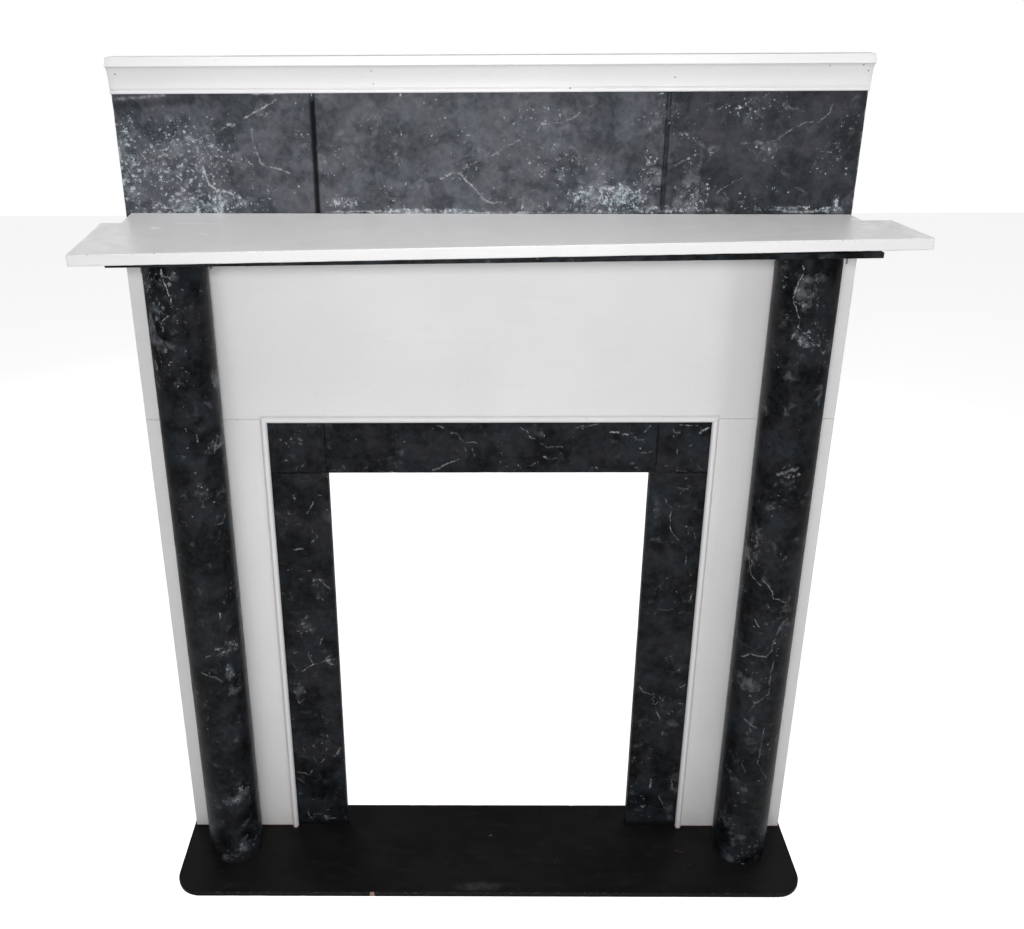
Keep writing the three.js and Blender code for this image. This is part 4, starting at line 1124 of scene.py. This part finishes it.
def columnTree():
    tree, given = newTree("round column", {
        "Foot": "Vector", "Height": "Float", "Radius": "Float", "Sides": "Int", "Rings": "Int",
        "Arris": "Float",
        "Twist": "Float", "Unevenness": "Float", "Patch Size": "Float", "Seed": "Float", "Paint": "Material"})
    core = ringedLine(tree, (0, 0, 0), joinAxes(tree, 0.0, 0.0, given["Height"]), given["Rings"])
    share = addNode(tree, "GeometryNodeSplineParameter").outputs["Factor"]
    eased = timesAdd(tree, reckon(tree, "COSINE", times(tree, share, math.pi)), -0.5, 0.5)
    level = times(tree, eased, given["Height"])
    closer = grow(tree, "GeometryNodeSetPosition", {  # rings gather at the two ends
        "Geometry": core, "Position": joinAxes(tree, 0.0, 0.0, level)})
    fromEnd = reckon(tree, "MINIMUM", level, minus(tree, given["Height"], level))
    short = minus(tree, 1.0, reckon(tree, "DIVIDE", fromEnd, given["Arris"], clamp=True))
    roundOff = minus(tree, 1.0, reckon(tree, "SQRT", minus(tree, 1.0, times(tree, short, short))))
    girth = minus(tree, given["Radius"], times(tree, roundOff, given["Arris"]))
    widened = grow(tree, "GeometryNodeSetCurveRadius", {"Curve": closer, "Radius": girth})
    rim = addNode(tree, "GeometryNodeCurvePrimitiveCircle")
    feed(tree, rim.inputs["Resolution"], given["Sides"])
    rim.inputs["Radius"].default_value = 1.0
    post = addNode(tree, "GeometryNodeCurveToMesh")
    feed(tree, post.inputs["Curve"], widened)
    feed(tree, post.inputs["Profile Curve"], rim.outputs["Curve"])
    post.inputs["Fill Caps"].default_value = True
    if "Scale" in post.inputs:
        feed(tree, post.inputs["Scale"], girth)
    here = addNode(tree, "GeometryNodeInputPosition").outputs[0]
    x, y, z = splitAxes(tree, here)
    sunk = times(tree, lumps(tree, here, given),
                 reckon(tree, "DIVIDE", given["Unevenness"], times(tree, given["Radius"], -1.0)))
    footX, footY, _ = splitAxes(tree, given["Foot"])
    across = times(tree, reckon(tree, "ADD", x, footX), reckon(tree, "ADD", y, footY))
    lift = times(tree, times(tree, across, given["Twist"]),
                 reckon(tree, "DIVIDE", z, times(tree, given["Height"], -1.0)))
    placed = steer(tree, "ADD", given["Foot"], joinAxes(tree, 0.0, 0.0, lift))
    stood = grow(tree, "GeometryNodeSetPosition", {
        "Geometry": post.outputs[0],
        "Offset": steer(tree, "ADD", steer(tree, "SCALE", joinAxes(tree, x, y, 0.0), scale=sunk), placed)})
    closeTree(tree, stood, given["Paint"])
    return tree


def makeColumns():
    post = columnTree()
    near, far = columns["rear"]
    for seed, (name, node, side) in enumerate((
            ("columnLeft", "column_left", -1), ("columnRight", "column_right", 1)), 50):
        low, high = nodeBox(node)
        centreX, centreY = side * columns["centreX"], columns["centreY"]
        rise = max(-columns["twist"] * mm * x * y for x in (low[0], high[0]) for y in (low[1], high[1]))
        mesh = growMesh(post, {
            "Foot": (centreX * mm, centreY * mm, low[2] * mm), "Height": (high[2] - low[2] - rise) * mm,
            "Radius": columns["diameter"] / 2 * mm, "Sides": columns["sides"], "Rings": columns["rings"],
            "Arris": columns["arris"] * mm, "Twist": columns["twist"],
            "Unevenness": columns["unevenness"] * mm,
            "Patch Size": columns["patchSize"] * mm, "Seed": float(seed), "Paint": plainFiller})
        for face in mesh.polygons:
            face.use_smooth = len(face.vertices) <= 4
        mesh.set_sharp_from_angle(angle=math.radians(columns["sharpAngle"]))
        upright = (low[2] + columns["rearMargin"], high[2] - columns["rearMargin"])
        strokes = veins[name] + strayVeins(seed, columns["rearVeins"], (near, far), upright)
        strokes += strayVeins(seed + 5, columns["rearVeins"], (-far, -near), upright)
        paint = marbleFinish(finishName("marble", name), postMarbleLook, strokes, dabs[name], seed,
                             centreX=centreX)
        standPiece(name, mesh, node, paint)


def strayVeins(seed, count, acrossRange, upRange):  # plainer veins for the sides the viewer seldom sees
    luck = random.Random(seed)
    strokes = []
    for _ in range(count):
        u, z = luck.uniform(*acrossRange), luck.uniform(*upRange)
        heading, path = luck.uniform(0, math.tau), [(round(u, 1), round(z, 1))]
        for _ in range(luck.randint(2, 4)):
            heading += luck.uniform(-0.7, 0.7)
            step = luck.uniform(8, 26)
            u, z = u + step * math.cos(heading), z + step * math.sin(heading)
            path.append((round(u, 1), round(z, 1)))
        strokes.append((round(luck.uniform(1.5, 2.8), 1), round(luck.uniform(0.3, 0.7), 2), path))
    return strokes


# The two twisted boards: the black one on the columns and the shelf over it. Their twist is in 1/mm

underBoard = {"thick": 9, "bottom": 1240.2, "twist": 6.4e-5, "step": 12, "arris": 0.9, "wear": 0.5,
              "dabs": [(-300, 1244, 60, 14, 0.3), (120, 1244, 70, 14, 0.35), (480, 1246, 40, 14, 0.3)]}
shelf = {"thick": 18, "bottom": 1252.5, "twist": 9.8e-5, "narrow": 600, "step": 10, "arris": 1.4, "wear": 0.9,
         "paintBlobs": [(9, 0.9, [(-540, -30), (-532, -34)]),
                        (3.0, 0.8, [(-507, -3), (-480, -6), (-436, -8)]),
                        (4, 0.8, [(-457, -64), (-443, -74)])]}


def twistedBoard(xs, ys, look, seed, covers=None):
    def place(x, y, t):
        return x, y, look["bottom"] + t * look["thick"] - look["twist"] * x * y
    return boardMesh(xs, ys, place, look, seed, covers)


def makeUnderBoard():
    low, high = nodeBox("under_board")
    b = underBoard
    work = twistedBoard(stations(low[0], high[0], b["step"]), stations(low[1], high[1], b["step"]), b, 61)
    strokes = strayVeins(61, 3, (low[0], high[0]), (b["bottom"], b["bottom"] + b["thick"]))
    paint = marbleFinish("marbleUnderBoard", blackMarbleLook, strokes, b["dabs"], 61, box=(low, high),
                         twist=b["twist"])
    standPiece("underBoard", work, "under_board", paint)


def makeShelf():
    low, high = nodeBox("mantel_shelf")
    s = shelf
    xs = stations(low[0], -s["narrow"], s["step"]) + stations(-s["narrow"], s["narrow"], s["step"])[1:]
    xs += stations(s["narrow"], high[0], s["step"])[1:]
    ys = stations(low[1], 0, s["step"]) + stations(0, high[1], s["step"])[1:]
    work = twistedBoard(xs, ys, s, 62, lambda x, y: y < 0 or abs(x) < s["narrow"])
    untwisted = low[:2] + [s["bottom"]], high[:2] + [s["bottom"] + s["thick"]]
    # tone=0.96 sets the shelf's white a little darker than the facing's: painted shade against the strong
    # light on its front
    paint = whiteFinish("whiteMantelShelf", *untwisted, 62, "x", "xy", light=s["paintBlobs"],
                        twist=s["twist"], chips=0.8, tone=0.96)
    standPiece("mantelShelf", work, "mantel_shelf", paint)


# Backboard with its two grooves

backboard = {"grooveX": 287, "grooveWidth": 8, "grooveDepth": 3, "step": 14, "arris": 0.9, "wear": 0.6,
             "fade": (240, 330, 0.5), "whiteTop": 1.5,  # from x, to x and what is kept
             # shadows: dark paint and painted shade in the two grooves, then painted shade under the
             # cornice's left end
             "shadows": [(9, 0.96, [(-287, 1180), (-287, 1450)]), (8, 0.6, [(287, 1180), (287, 1420)]),
                         (12, 0.4, [(-598, 1447), (-560, 1451), (-480, 1454)])]}


def makeBackboard():
    low, high = nodeBox("back_board")
    b = backboard
    half = b["grooveWidth"] / 2

    def groove(x):
        off = abs(abs(x) - b["grooveX"]) / half
        return b["grooveDepth"] * (1 - off * off) if off < 1 else 0

    near, far = b["grooveX"] - half, b["grooveX"] + half
    xs = stations(low[0], -far, b["step"])
    for start, end, step in ((-far, -near, 1), (-near, near, b["step"]), (near, far, 1),
                             (far, high[0], b["step"])):
        xs += stations(start, end, step)[1:]
    work = boardMesh(xs, stations(low[2], high[2], b["step"]),
                     lambda u, v, t: (u, low[1] + groove(u) + t * (high[1] - low[1] - groove(u)), v), b, 71)
    for face in work.faces:
        if abs(abs(face.calc_center_median().x / mm) - b["grooveX"]) < half:
            face.smooth = True
    paint = marbleFinish("marbleBackboard", greyMarbleLook, veins["backboard"], dabs["backboard"], 71,
                         box=(low, high), shadows=b["shadows"], whiteAbove=high[2] - b["whiteTop"],
                         fade=b["fade"])
    standPiece("backBoard", work, "back_board", paint)


plainFiller = bpy.data.materials.new("filler")  # stands in until a grown mesh gets its own finish
makeHearth()
makeFacing()
makeReturns()
print("mantelpiece: hearth, facing and returns made")
makeSlips()
mouldingRun = mouldingTree()
makeBeads(mouldingRun)
makeCornice(mouldingRun)
print("mantelpiece: slips, beads and cornice made")
makeColumns()
makeUnderBoard()
makeShelf()
makeBackboard()
print("mantelpiece: columns, shelf and backboard made")
